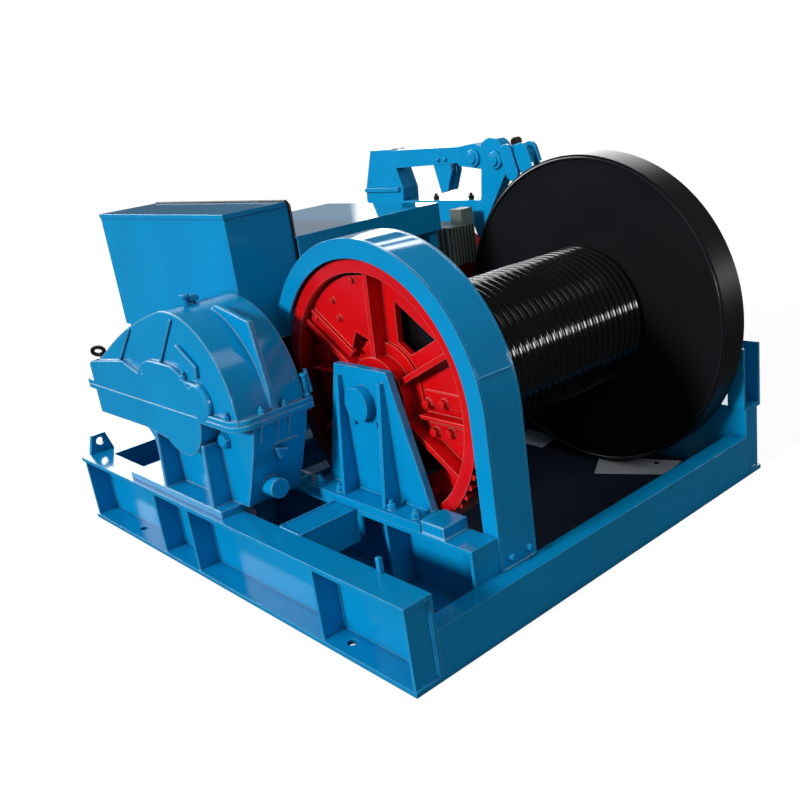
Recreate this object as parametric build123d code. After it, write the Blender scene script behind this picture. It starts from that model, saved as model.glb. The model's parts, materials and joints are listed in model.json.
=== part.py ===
"""Electric anchor windlass with an open gear stage, a rope drum and a drum brake.

Frame: +X runs along the drum axis from the gear side to the flange side, +Y runs to the
motor side, +Z is up. The origin is the middle of the base, on the floor. Millimetres.
"""
import os
from math import acos, asin, cos, pi, radians, sin, tan

from build123d import *

# Base frame, welded from rolled channels
BASE_LENGTH = 1800.0
BASE_WIDTH = 1564.0
LEFT = -BASE_WIDTH / 2
RIGHT = BASE_WIDTH / 2
FRONT = -BASE_LENGTH / 2
REAR = BASE_LENGTH / 2
CHANNEL_HEIGHT = 240.0
CHANNEL_FLANGE = 88.0
CHANNEL_FLANGE_THICK = 14.0
CHANNEL_WEB_THICK = 10.0
STIFFENER_THICK = 10.0
STIFFENER_SETBACK = 6.0
STIFFENERS_FROM_FRONT = (13.0, 375.0, 1032.0, 1255.0)
LAST_STIFFENER_FROM_REAR = 13.0
SMALL_CHANNEL_HEIGHT = 140.0
SMALL_CHANNEL_FLANGE = 62.0
SMALL_FLANGE_THICK = 10.0
SMALL_WEB_THICK = 8.0
FOUNDATION_HOLE_RADIUS = 14.0
FOUNDATION_HOLE_INSET = 300.0
FLOOR_PLATE_BOTTOM = 4.0
FLOOR_PLATE_THICK = 8.0
LIFTING_LUG_WIDTH = 90.0
LIFTING_LUG_HEIGHT = 68.0
LIFTING_LUG_THICK = 16.0
LIFTING_LUG_INSET = 30.0
LIFTING_HOLE_RADIUS = 15.0
CORNER_POST_WIDTH = 99.0
CORNER_POST_DEPTH = 58.0
CORNER_POST_HEIGHT = 200.0

# Drum line
DRUM_AXIS_Y = FRONT + 504.0
DRUM_AXIS_Z = 546.0
DRUM_START = LEFT + 514.0
FLANGE_START = RIGHT - 237.0
FLANGE_WIDTH = 107.0
FLANGE_RADIUS = 527.0
FLANGE_FACE_THICK = 22.0
FLANGE_RIM_THICK = 20.0
FLANGE_HUB_RADIUS = 110.0
BARREL_RADIUS = 237.0
BARREL_WALL = 34.0
GROOVE_PITCH = 29.0
GROOVE_DEPTH = 9.0
GROOVE_SIDES = 32
NEAR_END_THICK = 18.0
NEAR_END_LIP = 20.0
DRUM_SHAFT_RADIUS = 60.0
JOURNAL_RADIUS = 32.0
JOURNAL_SHOULDER = 4.0
SHAFT_CLEARANCE = 0.05

# Open gear stage
GEAR_MODULE = 12.0
GEAR_TEETH = 65
PINION_TEETH = 16
PITCH_RADIUS = GEAR_MODULE * GEAR_TEETH / 2
CENTRE_DISTANCE = GEAR_MODULE * (GEAR_TEETH + PINION_TEETH) / 2
GEAR_START = LEFT + 395.0
GEAR_WIDTH = 100.0
TOOTH_BACKLASH = 1.2
PRESSURE_ANGLE = radians(20.0)
RIM_INNER_RADIUS = PITCH_RADIUS - 40.0
GEAR_HUB_RADIUS = 112.0
SPOKES = 6
FIRST_SPOKE_ANGLE = 33.0
SPOKE_THICK = 16.0
SPOKE_SETBACK = 10.0
GEAR_WEB_THICK = 18.0
GEAR_WEB_START = GEAR_START + 58.0
HUB_PLATE_RADIUS = 148.0
HUB_PLATE_THICK = 38.0
WINDOW_MARGIN = 55.0
WINDOW_INNER_RADIUS = 160.0
WINDOW_OUTER_RADIUS = RIM_INNER_RADIUS - 76.0

# Gear hood
HOOD_START = GEAR_START - 20.0
HOOD_END = GEAR_START + GEAR_WIDTH + 14.0
HOOD_RADIUS = PITCH_RADIUS + 57.0
HOOD_RING_DEPTH = 54.0
HOOD_PLATE = 8.0
HOOD_REAR_ANGLE = 29.0

# Near pedestal on its bearing beam, and the far pedestal
BEARING_BEAM_END = HOOD_START - 0.5
BEARING_BEAM_START = LEFT + 282.0
BEARING_BEAM_STIFFENERS = (-94.0, 620.0)
PEDESTAL_BASE_THICK = 26.0
PEDESTAL_BASE_LENGTH = 505.0
PEDESTAL_TOP = DRUM_AXIS_Z + 98.0
PEDESTAL_TOP_HALF = 114.0
PEDESTAL_BOTTOM_HALF = 227.0
PEDESTAL_PLATE = 22.0
PEDESTAL_RIB = 14.0
PEDESTAL_RIB_PLACE = 92.0
PEDESTAL_RIB_TOE = 58.0
PEDESTAL_RIB_HEAD = 14.0
BEARING_RADIUS = 49.0
BEARING_DEPTH = 30.0
BEARING_END_THICK = 8.0
PEDESTAL_STOP_LENGTH = 44.0
PEDESTAL_STOP_HEIGHT = 44.0
PEDESTAL_STOP_INSET = 26.0

# Reducer
OUTPUT_Y = DRUM_AXIS_Y + CENTRE_DISTANCE
INPUT_Y = OUTPUT_Y + 350.0
REDUCER_NEAR = LEFT + 44.0
REDUCER_FAR = LEFT + 265.0
LOWER_RECESS = 42.0
BOSS_PAD_THICK = 16.0
BOSS_FACE = REDUCER_NEAR - BOSS_PAD_THICK
SPLIT_Z = DRUM_AXIS_Z
SPLIT_FLANGE_THICK = 16.0
SPLIT_FLANGE_LIP = 20.0
SPLIT_CORNER_RADIUS = 55.0
REDUCER_FOOT_THICK = 22.0
REDUCER_FOOT_NEAR = LEFT + 18.0
REDUCER_FOOT_FAR = BEARING_BEAM_START + 60.0
OUTPUT_BOSS_RADIUS = 140.0
OUTPUT_BOSS_STRETCH = 95.0
OUTPUT_SHAFT_RADIUS = 45.0
BOSS_RIB_THICK = 14.0
HUMP_RIB_X = REDUCER_NEAR + 106.0
HUMP_RIB_THICK = 16.0
DRAIN_BOSS_RADIUS = 30.0
HUMP_RADIUS = 290.0
HUMP_MIDDLE_Y = OUTPUT_Y - 36.0
HUMP_MIDDLE_Z = SPLIT_Z + 7.0

# Motor line
MOTOR_SHAFT_RADIUS = 30.0
MOTOR_LENGTH = 580.0
MOTOR_END = RIGHT - 147.0
MOTOR_START = MOTOR_END - MOTOR_LENGTH
MOTOR_RADIUS = 185.0
MOTOR_END_SHIELD = 46.0
MOTOR_SHIELD_RADIUS = 168.0
MOTOR_FOOT_THICK = 25.0
MOTOR_BEAM_WIDTH = 80.0
TERMINAL_LENGTH = 120.0
TERMINAL_FRONT = INPUT_Y - 256.0
TERMINAL_TOP = DRUM_AXIS_Z + 286.0
TERMINAL_HEIGHT = 140.0
GLAND_BOX_WIDTH = 60.0
GLAND_BOX_HEIGHT = 62.0
COUPLING_START = LEFT + 342.0
COUPLING_LENGTH = 90.0
COUPLING_RADIUS = 110.0

# Drum brake
WHEEL_RADIUS = 250.0
WHEEL_START = RIGHT - 127.0
WHEEL_WIDTH = 120.0
WHEEL_RIM = 20.0
WHEEL_WEB = 16.0
LINING_GAP = 1.0
SHOE_THICK = 33.0
SHOE_HALF_ANGLE = 34.0
ARM_THICK = 46.0
ARM_HEAD_RADIUS = 68.0
ARM_HEAD_REACH = 46.0
ARM_HEAD_HEIGHT = 520.0
ARM_REACH = WHEEL_RADIUS + LINING_GAP + SHOE_THICK + 2.0
BRAKE_BASE_THICK = 22.0
GUARD_CLEARANCE = 12.0
GUARD_TOP = DRUM_AXIS_Z + 364.0
THRUSTER_RADIUS = 60.0
THRUSTER_HEIGHT = 640.0
THRUSTER_OFFSET = 470.0
THRUSTER_ROD_RADIUS = 14.0

# Control cabinet and canopy
CABINET_START = LEFT + 288.0
CABINET_END = DRUM_START
CABINET_FRONT = OUTPUT_Y - 39.0
CABINET_BOTTOM = 670.0
CABINET_TOP = 1068.0
CABINET_LID = 14.0
CABINET_LID_LIP = 4.0
CABINET_LEG = 60.0
CANOPY_TOP = 962.0
CANOPY_DEPTH = 92.0
CANOPY_END = RIGHT - 455.0
CANOPY_FRONT = OUTPUT_Y - 60.0
CANOPY_SHEET = 6.0
CANOPY_POST = 36.0
MIDDLE_BEAM_DROP = 40.0


def box(x, y, z):
    """A box from three (low, high) pairs."""
    size = [high - low for low, high in (x, y, z)]
    middle = [(high + low) / 2 for low, high in (x, y, z)]
    return Pos(*middle) * Box(*size)


def rod(start, end, y, z, radius):
    """A round bar along X."""
    middle = (start + end) / 2
    return Pos(middle, y, z) * Rot(0, 90, 0) * Cylinder(radius, end - start)


def ring_x(start, end, y, z, outer, inner):
    """A ring about an axis along X."""
    return rod(start, end, y, z, outer) - rod(start, end, y, z, inner)


def plate_x(points, start, end):
    """A flat outline of (y, z) points, extruded along X from start to end."""
    face = make_face(Polyline(*[(start, y, z) for y, z in points], close=True))
    return extrude(face, amount=end - start, dir=(1, 0, 0))


def plate_y(points, start, end):
    """A flat outline of (x, z) points, extruded along Y from start to end."""
    face = make_face(Polyline(*[(x, start, z) for x, z in points], close=True))
    return extrude(face, amount=end - start, dir=(0, 1, 0))


def about_axis(offsets, y):
    """Outline offsets from a shaft at y on the drum axis height, as (y, z) points."""
    return [(y + across, DRUM_AXIS_Z + up) for across, up in offsets]


def gear_points(teeth, first_angle):
    """The tooth outline about (0, 0), with one tooth centred on first_angle."""
    pitch = GEAR_MODULE * teeth / 2
    base = pitch * cos(PRESSURE_ANGLE)
    root = pitch - 1.25 * GEAR_MODULE
    tip = pitch + GEAR_MODULE
    involute_pitch = tan(PRESSURE_ANGLE) - PRESSURE_ANGLE
    half_pitch = (pi * GEAR_MODULE - TOOTH_BACKLASH) / (4 * pitch)
    low = max(base, root) + 0.01
    flank = []
    for radius in (low, tip):
        angle = acos(min(1.0, base / radius))
        flank.append((radius, half_pitch + involute_pitch - (tan(angle) - angle)))
    if low > root + 1:
        flank.insert(0, (root, flank[0][1]))
    outline = []
    for tooth in range(teeth):
        centre = first_angle + 2 * pi * tooth / teeth
        for radius, half in flank:
            outline.append((radius * cos(centre - half), radius * sin(centre - half)))
        for radius, half in reversed(flank):
            outline.append((radius * cos(centre + half), radius * sin(centre + half)))
    return outline


def gear_blank(teeth, first_angle, y):
    """A toothed disc about an axis along X at the given y."""
    points = about_axis(gear_points(teeth, first_angle), y)
    return plate_x(points, GEAR_START, GEAR_START + GEAR_WIDTH)


def side_beam(side):
    """A channel with its flanges outwards, stiffener plates between them and foundation holes."""
    outer = side * RIGHT
    inner = side * (RIGHT - CHANNEL_FLANGE)
    web_face = inner + side * CHANNEL_WEB_THICK
    between = (CHANNEL_FLANGE_THICK, CHANNEL_HEIGHT - CHANNEL_FLANGE_THICK)
    beam = box(sorted((outer, inner)), (FRONT, REAR), (0, CHANNEL_HEIGHT))
    beam -= box(sorted((web_face, outer + side)), (FRONT - 1, REAR + 1), between)
    places = [FRONT + distance for distance in STIFFENERS_FROM_FRONT]
    places.append(REAR - LAST_STIFFENER_FROM_REAR)
    for place in places:
        reach = sorted((web_face, outer - side * STIFFENER_SETBACK))
        beam += box(reach, (place - STIFFENER_THICK / 2, place + STIFFENER_THICK / 2), between)
    for along in (-1, 1):
        hole = Cylinder(FOUNDATION_HOLE_RADIUS, CHANNEL_FLANGE_THICK + 2)
        beam -= Pos(outer - side * CHANNEL_FLANGE / 2, along * (REAR - FOUNDATION_HOLE_INSET),
                    CHANNEL_FLANGE_THICK / 2) * hole
    return beam


def cross_channel(x, y, top, height, flange_thick, web_thick, opens_to_front):
    """A channel along X with its flanges level."""
    low, high = y
    hollow = (low - 1, high - web_thick) if opens_to_front else (low + web_thick, high + 1)
    between = (top - height + flange_thick, top - flange_thick)
    return box(x, y, (top - height, top)) - box((x[0] - 1, x[1] + 1), hollow, between)


def small_channel(x, y, top, opens_to_front):
    """The light channel of the front beam and the cross beams."""
    return cross_channel(x, y, top, SMALL_CHANNEL_HEIGHT, SMALL_FLANGE_THICK,
                         SMALL_WEB_THICK, opens_to_front)


parts = {}

# Base frame
inner_left = LEFT + CHANNEL_FLANGE
inner_right = RIGHT - CHANNEL_FLANGE
inner_front = FRONT + SMALL_CHANNEL_FLANGE
inner_rear = REAR - CHANNEL_FLANGE
parts["left_beam"] = side_beam(-1)
parts["right_beam"] = side_beam(1)
parts["front_beam"] = small_channel((inner_left, inner_right), (FRONT, inner_front),
                                    SMALL_CHANNEL_HEIGHT, False)
parts["rear_beam"] = cross_channel((inner_left, inner_right), (inner_rear, REAR), CHANNEL_HEIGHT,
                                   CHANNEL_HEIGHT, CHANNEL_FLANGE_THICK, CHANNEL_WEB_THICK, False)

between_flanges = (CHANNEL_FLANGE_THICK, CHANNEL_HEIGHT - CHANNEL_FLANGE_THICK)
bearing_beam = box((BEARING_BEAM_START, BEARING_BEAM_END), (inner_front, inner_rear),
                   (0, CHANNEL_HEIGHT))
bearing_beam -= box((BEARING_BEAM_START - 1, BEARING_BEAM_END - CHANNEL_WEB_THICK),
                    (inner_front + STIFFENER_THICK, inner_rear + 1), between_flanges)
for offset in BEARING_BEAM_STIFFENERS:
    place = DRUM_AXIS_Y + offset
    bearing_beam += box((BEARING_BEAM_START + STIFFENER_SETBACK, BEARING_BEAM_END - CHANNEL_WEB_THICK),
                        (place - STIFFENER_THICK / 2, place + STIFFENER_THICK / 2), between_flanges)
parts["bearing_beam"] = bearing_beam

parts["left_cross_beam"] = box((inner_left, BEARING_BEAM_START),
                               (DRUM_AXIS_Y + 24, DRUM_AXIS_Y + 124),
                               (CHANNEL_HEIGHT - 100, CHANNEL_HEIGHT))
motor_foot_half = MOTOR_RADIUS - 5
parts["motor_beam_front"] = small_channel((BEARING_BEAM_END, inner_right),
                                          (INPUT_Y - motor_foot_half - 10,
                                           INPUT_Y - motor_foot_half - 10 + MOTOR_BEAM_WIDTH),
                                          CHANNEL_HEIGHT, True)
rear_beam_start = INPUT_Y + motor_foot_half - 30
parts["motor_beam_rear"] = small_channel((BEARING_BEAM_END, inner_right),
                                         (rear_beam_start, rear_beam_start + MOTOR_BEAM_WIDTH),
                                         CHANNEL_HEIGHT, False)
middle_beam = (CANOPY_FRONT + 20, CANOPY_FRONT + 20 + SMALL_CHANNEL_FLANGE)
middle_beam_top = CHANNEL_HEIGHT - MIDDLE_BEAM_DROP
parts["middle_beam"] = small_channel((BEARING_BEAM_END, inner_right), middle_beam,
                                     middle_beam_top, True)

floor_z = (FLOOR_PLATE_BOTTOM, FLOOR_PLATE_BOTTOM + FLOOR_PLATE_THICK)
parts["left_floor_plate"] = box((inner_left, BEARING_BEAM_START), (inner_front, inner_rear), floor_z)
parts["floor_plate"] = box((BEARING_BEAM_END, inner_right), (inner_front, inner_rear), floor_z)

lug_middle = LEFT + LIFTING_LUG_INSET + LIFTING_LUG_WIDTH / 2
lug_shoulder = LIFTING_LUG_WIDTH * 0.28
lug = plate_y([(lug_middle - LIFTING_LUG_WIDTH / 2, CHANNEL_HEIGHT),
               (lug_middle + LIFTING_LUG_WIDTH / 2, CHANNEL_HEIGHT),
               (lug_middle + lug_shoulder, CHANNEL_HEIGHT + LIFTING_LUG_HEIGHT),
               (lug_middle - lug_shoulder, CHANNEL_HEIGHT + LIFTING_LUG_HEIGHT)],
              REAR - LIFTING_LUG_THICK, REAR)
lug -= Pos(lug_middle, REAR, CHANNEL_HEIGHT + LIFTING_LUG_HEIGHT * 0.6) * Rot(90, 0, 0) * Cylinder(
    LIFTING_HOLE_RADIUS, 3 * LIFTING_LUG_THICK)
parts["lifting_lug"] = lug

post = box((RIGHT - CORNER_POST_WIDTH, RIGHT), (FRONT, FRONT + CORNER_POST_DEPTH),
           (CHANNEL_HEIGHT, CHANNEL_HEIGHT + CORNER_POST_HEIGHT))
post -= box((RIGHT - CORNER_POST_WIDTH + SMALL_FLANGE_THICK, RIGHT - SMALL_FLANGE_THICK),
            (FRONT - 1, FRONT + CORNER_POST_DEPTH - SMALL_WEB_THICK),
            (CHANNEL_HEIGHT - 1, CHANNEL_HEIGHT + CORNER_POST_HEIGHT + 1))
parts["front_right_post"] = post

# Pedestals
pedestal_foot = (DRUM_AXIS_Y - PEDESTAL_BASE_LENGTH / 2, DRUM_AXIS_Y + PEDESTAL_BASE_LENGTH / 2)
pedestal_bottom = CHANNEL_HEIGHT + PEDESTAL_BASE_THICK
parts["near_pedestal_base"] = box((BEARING_BEAM_START, BEARING_BEAM_END), pedestal_foot,
                                  (CHANNEL_HEIGHT, pedestal_bottom))
parts["far_pedestal_base"] = box((inner_right, RIGHT), pedestal_foot,
                                 (CHANNEL_HEIGHT, pedestal_bottom))


def pedestal(start, end, rib_side):
    """A trapezoid plate with two upright ribs and a closed boss, bored for the shaft journal."""
    outline = [(DRUM_AXIS_Y - PEDESTAL_BOTTOM_HALF, pedestal_bottom),
               (DRUM_AXIS_Y + PEDESTAL_BOTTOM_HALF, pedestal_bottom),
               (DRUM_AXIS_Y + PEDESTAL_TOP_HALF, PEDESTAL_TOP),
               (DRUM_AXIS_Y - PEDESTAL_TOP_HALF, PEDESTAL_TOP)]
    body = plate_x(outline, start, end)
    root = start if rib_side < 0 else end
    rib_top = PEDESTAL_TOP - 30
    rib_outline = [(root, pedestal_bottom), (root + rib_side * PEDESTAL_RIB_TOE, pedestal_bottom),
                   (root + rib_side * PEDESTAL_RIB_HEAD, rib_top), (root, rib_top)]
    for offset in (-PEDESTAL_RIB_PLACE, PEDESTAL_RIB_PLACE):
        middle = DRUM_AXIS_Y + offset
        body += plate_y(rib_outline, middle - PEDESTAL_RIB / 2, middle + PEDESTAL_RIB / 2)
    boss = sorted((root, root + rib_side * BEARING_DEPTH))
    body += rod(*boss, DRUM_AXIS_Y, DRUM_AXIS_Z, BEARING_RADIUS)
    inside = end + 1 if rib_side < 0 else start - 1
    bore = sorted((inside, root + rib_side * (BEARING_DEPTH - BEARING_END_THICK)))
    return body - rod(*bore, DRUM_AXIS_Y, DRUM_AXIS_Z, JOURNAL_RADIUS + SHAFT_CLEARANCE)


near_plate = BEARING_BEAM_END - PEDESTAL_PLATE
far_plate = inner_right + 6
parts["near_pedestal"] = pedestal(near_plate, BEARING_BEAM_END, -1)
parts["far_pedestal"] = pedestal(far_plate, far_plate + PEDESTAL_PLATE, 1)
journal_reach = BEARING_DEPTH - BEARING_END_THICK
shaft_start = near_plate - journal_reach
shaft_end = far_plate + PEDESTAL_PLATE + journal_reach
parts["near_pedestal_stop"] = box((BEARING_BEAM_START + PEDESTAL_STOP_INSET, BEARING_BEAM_END),
                                  (pedestal_foot[0] - PEDESTAL_STOP_LENGTH, pedestal_foot[0]),
                                  (CHANNEL_HEIGHT, CHANNEL_HEIGHT + PEDESTAL_STOP_HEIGHT))


# Gear hood
def hood_strip(outer, inner, start, end):
    """The strip between two hood outlines: front leg, arch and rear end."""
    rear = radians(HOOD_REAR_ANGLE)
    corners = []
    for radius in (outer, inner):
        corners.append([(0, DRUM_AXIS_Y - radius, SMALL_CHANNEL_HEIGHT),
                        (0, DRUM_AXIS_Y - radius, DRUM_AXIS_Z),
                        (0, DRUM_AXIS_Y, DRUM_AXIS_Z + radius),
                        (0, DRUM_AXIS_Y + radius * cos(rear), DRUM_AXIS_Z + radius * sin(rear))])
    (foot_a, shoulder_a, crown_a, tail_a), (foot_b, shoulder_b, crown_b, tail_b) = corners
    wire = Wire([Line(foot_a, shoulder_a), ThreePointArc(shoulder_a, crown_a, tail_a),
                 Line(tail_a, tail_b), ThreePointArc(tail_b, crown_b, shoulder_b),
                 Line(shoulder_b, foot_b), Line(foot_b, foot_a)])
    return Pos(start, 0, 0) * extrude(Face(wire), amount=end - start, dir=(1, 0, 0))


parts["hood_band"] = hood_strip(HOOD_RADIUS, HOOD_RADIUS - HOOD_PLATE,
                                HOOD_START + HOOD_PLATE, HOOD_END - HOOD_PLATE)
parts["hood_near_ring"] = hood_strip(HOOD_RADIUS, HOOD_RADIUS - HOOD_RING_DEPTH,
                                     HOOD_START, HOOD_START + HOOD_PLATE)
parts["hood_far_ring"] = hood_strip(HOOD_RADIUS, HOOD_RADIUS - HOOD_RING_DEPTH,
                                    HOOD_END - HOOD_PLATE, HOOD_END)

# Reducer housing: two halves bolted at the height of the shafts
foot_top = CHANNEL_HEIGHT + REDUCER_FOOT_THICK
below_split = box((LEFT - 100, 0), (FRONT, REAR), (0, SPLIT_Z))
above_split = box((LEFT - 100, 0), (FRONT, REAR), (SPLIT_Z, 2 * SPLIT_Z))
reducer_right = OUTPUT_Y - 339
reducer_left = INPUT_Y + 250


def split_flange(bottom, top):
    """One half of the split flange, rounded at its near front corner."""
    slab = box((BOSS_FACE, REDUCER_FAR + SPLIT_FLANGE_LIP),
               (reducer_right, reducer_left + SPLIT_FLANGE_LIP), (bottom, top))
    corner = slab.edges().filter_by(Axis.Z).sort_by(Axis.X)[:2].sort_by(Axis.Y)[0]
    return fillet(corner, SPLIT_CORNER_RADIUS)


lower_outline = [(reducer_right + 2, SPLIT_Z), (reducer_right + 37, SPLIT_Z - 94),
                 (reducer_right + 86, SPLIT_Z - 202), (OUTPUT_Y - 210, foot_top),
                 (INPUT_Y - 30, foot_top), (INPUT_Y - 22, SPLIT_Z - 167),
                 (INPUT_Y + 34, SPLIT_Z - 113), (INPUT_Y + 95, SPLIT_Z - 86),
                 (INPUT_Y + 231, SPLIT_Z - 94), (reducer_left, SPLIT_Z)]
lower_near = REDUCER_NEAR + LOWER_RECESS


def hump_point(degrees):
    """A point of the round hump over the output shaft, at an angle from the +Y side."""
    angle = radians(degrees)
    return (REDUCER_NEAR, HUMP_MIDDLE_Y + HUMP_RADIUS * cos(angle),
            HUMP_MIDDLE_Z + HUMP_RADIUS * sin(angle))


def upper_housing():
    """The upper half: a round hump over the output shaft and a long curved back."""
    heel = (REDUCER_NEAR, HUMP_MIDDLE_Y - HUMP_RADIUS + 1, SPLIT_Z)
    back = (REDUCER_NEAR, INPUT_Y + 93, SPLIT_Z + 127)
    shoulder = (REDUCER_NEAR, INPUT_Y + 220, SPLIT_Z + 64)
    tail = (REDUCER_NEAR, reducer_left, SPLIT_Z)
    wire = Wire([Line(heel, hump_point(178)),
                 ThreePointArc(hump_point(178), hump_point(132), hump_point(84)),
                 ThreePointArc(hump_point(84), (REDUCER_NEAR, INPUT_Y - 134, SPLIT_Z + 230), back),
                 Line(back, shoulder), Line(shoulder, tail), Line(tail, heel)])
    return extrude(Face(wire), amount=REDUCER_FAR - REDUCER_NEAR, dir=(1, 0, 0))


output_boss = rod(BOSS_FACE, lower_near, OUTPUT_Y, SPLIT_Z, OUTPUT_BOSS_RADIUS)
boss_end = OUTPUT_Y + OUTPUT_BOSS_STRETCH
wide_boss = output_boss + rod(BOSS_FACE, REDUCER_NEAR, boss_end, SPLIT_Z, OUTPUT_BOSS_RADIUS)
wide_boss += box((BOSS_FACE, REDUCER_NEAR), (OUTPUT_Y, boss_end),
                 (SPLIT_Z, SPLIT_Z + OUTPUT_BOSS_RADIUS))
input_block = plate_x([(OUTPUT_Y + 20, SPLIT_Z - 108), (OUTPUT_Y + 81, SPLIT_Z - 108),
                       (INPUT_Y - 115, SPLIT_Z - 92), (INPUT_Y + 220, SPLIT_Z - 96),
                       (INPUT_Y + 220, SPLIT_Z + 74), (INPUT_Y + 198, SPLIT_Z + 86),
                       (INPUT_Y - 43, SPLIT_Z + 115), (INPUT_Y - 155, SPLIT_Z + 84),
                       (OUTPUT_Y + 20, SPLIT_Z + 84)], BOSS_FACE, lower_near)

lower = plate_x(lower_outline, lower_near, REDUCER_FAR)
lower += split_flange(SPLIT_Z - SPLIT_FLANGE_THICK, SPLIT_Z)
lower += (output_boss + input_block) & below_split
lower += box((REDUCER_FOOT_NEAR, REDUCER_FOOT_FAR), (OUTPUT_Y - 166, INPUT_Y + 78),
             (CHANNEL_HEIGHT, foot_top))
for rib_y, rib_top in ((OUTPUT_Y - 115, SPLIT_Z - 91), (OUTPUT_Y + 178, SPLIT_Z - 100)):
    rib = plate_y([(REDUCER_FOOT_NEAR + 2, foot_top), (lower_near, foot_top),
                   (lower_near, rib_top), (BOSS_FACE + 2, rib_top)],
                  rib_y - BOSS_RIB_THICK / 2, rib_y + BOSS_RIB_THICK / 2)
    lower += rib
drain_z = CHANNEL_HEIGHT + 78
lower += Pos(HUMP_RIB_X, OUTPUT_Y - 251, drain_z) * Rot(90, 0, 0) * Cylinder(DRAIN_BOSS_RADIUS, 90)
lower += plate_x([(reducer_right + 32, SPLIT_Z - 91), (reducer_right + 60, SPLIT_Z - 91),
                  (reducer_right + 72, SPLIT_Z - 160)], HUMP_RIB_X + 2, HUMP_RIB_X + 84)

upper = upper_housing()
upper += split_flange(SPLIT_Z, SPLIT_Z + SPLIT_FLANGE_THICK)
upper += (wide_boss + input_block) & above_split
upper += plate_x([(OUTPUT_Y - 96, SPLIT_Z + 280), (OUTPUT_Y - 136, SPLIT_Z + 296),
                  (OUTPUT_Y - 298, SPLIT_Z + 262), (reducer_right + 2, SPLIT_Z + 60),
                  (reducer_right + 2, SPLIT_Z + 12), (OUTPUT_Y - 236, SPLIT_Z + 12)],
                 HUMP_RIB_X, HUMP_RIB_X + HUMP_RIB_THICK)

output_bore = rod(REDUCER_NEAR + 60, 0, OUTPUT_Y, SPLIT_Z, OUTPUT_SHAFT_RADIUS + SHAFT_CLEARANCE)
input_bore = rod(REDUCER_NEAR + 60, 0, INPUT_Y, SPLIT_Z, MOTOR_SHAFT_RADIUS + SHAFT_CLEARANCE)
parts["reducer_lower"] = lower - output_bore - input_bore
parts["reducer_upper"] = upper - output_bore - input_bore

# Control cabinet on its legs
parts["control_cabinet"] = box((CABINET_START, CABINET_END), (CABINET_FRONT, REAR),
                               (CABINET_BOTTOM, CABINET_TOP - CABINET_LID))
parts["cabinet_lid"] = box((CABINET_START - CABINET_LID_LIP, CABINET_END),
                           (CABINET_FRONT - CABINET_LID_LIP, REAR),
                           (CABINET_TOP - CABINET_LID, CABINET_TOP))
coupling_end = COUPLING_START + COUPLING_LENGTH
near_leg_x = BEARING_BEAM_START + 20
leg_places = ((near_leg_x, INPUT_Y + COUPLING_RADIUS + 20), (near_leg_x, REAR - CABINET_LEG),
              (CABINET_END - CABINET_LEG, INPUT_Y - motor_foot_half - 10),
              (CABINET_END - CABINET_LEG, REAR - CABINET_LEG))
legs = []
for x, y in leg_places:
    legs.append(box((x, x + CABINET_LEG), (y, y + CABINET_LEG), (CHANNEL_HEIGHT, CABINET_BOTTOM)))
parts["cabinet_legs"] = Compound(children=legs)

# Canopy over the motor, carried by the cabinet and two posts
canopy_rear = rear_beam_start + MOTOR_BEAM_WIDTH
canopy_bottom = CANOPY_TOP - CANOPY_DEPTH
canopy = box((CABINET_END, CANOPY_END), (CANOPY_FRONT, canopy_rear), (canopy_bottom, CANOPY_TOP))
canopy -= box((CABINET_END - 1, CANOPY_END - CANOPY_SHEET),
              (CANOPY_FRONT + CANOPY_SHEET, canopy_rear - CANOPY_SHEET),
              (canopy_bottom - 1, CANOPY_TOP - CANOPY_SHEET))
parts["canopy"] = canopy
post_x = (CANOPY_END - CANOPY_SHEET - CANOPY_POST, CANOPY_END - CANOPY_SHEET)
front_post_y = (middle_beam[0], middle_beam[0] + CANOPY_POST)
rear_post_y = (canopy_rear - CANOPY_SHEET - CANOPY_POST, canopy_rear - CANOPY_SHEET)
parts["canopy_posts"] = Compound(children=[
    box(post_x, front_post_y, (middle_beam_top, CANOPY_TOP - CANOPY_SHEET)),
    box(post_x, rear_post_y, (CHANNEL_HEIGHT, CANOPY_TOP - CANOPY_SHEET))])

# Motor
motor = rod(MOTOR_START + MOTOR_END_SHIELD, MOTOR_END - MOTOR_END_SHIELD, INPUT_Y, DRUM_AXIS_Z,
            MOTOR_RADIUS)
motor += rod(MOTOR_START, MOTOR_END, INPUT_Y, DRUM_AXIS_Z, MOTOR_SHIELD_RADIUS)
motor_foot = (MOTOR_START + 90, MOTOR_END - 90)
motor += box(motor_foot, (INPUT_Y - motor_foot_half, INPUT_Y + motor_foot_half),
             (CHANNEL_HEIGHT, CHANNEL_HEIGHT + MOTOR_FOOT_THICK))
motor += box(motor_foot, (INPUT_Y - motor_foot_half + 50, INPUT_Y + motor_foot_half - 50),
             (CHANNEL_HEIGHT + MOTOR_FOOT_THICK, DRUM_AXIS_Z))
motor -= rod(MOTOR_START, MOTOR_END, INPUT_Y, DRUM_AXIS_Z, MOTOR_SHAFT_RADIUS + SHAFT_CLEARANCE)
parts["motor"] = motor
terminal_start = MOTOR_END - TERMINAL_LENGTH
terminal_box = box((terminal_start, MOTOR_END), (TERMINAL_FRONT, INPUT_Y),
                   (TERMINAL_TOP - TERMINAL_HEIGHT, TERMINAL_TOP))
terminal_box += box((MOTOR_END - GLAND_BOX_WIDTH, MOTOR_END),
                    (TERMINAL_FRONT, TERMINAL_FRONT + GLAND_BOX_WIDTH),
                    (TERMINAL_TOP, TERMINAL_TOP + GLAND_BOX_HEIGHT))
parts["motor_terminal_box"] = terminal_box - rod(MOTOR_START, MOTOR_END + 1, INPUT_Y, DRUM_AXIS_Z,
                                                 MOTOR_RADIUS)

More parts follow.
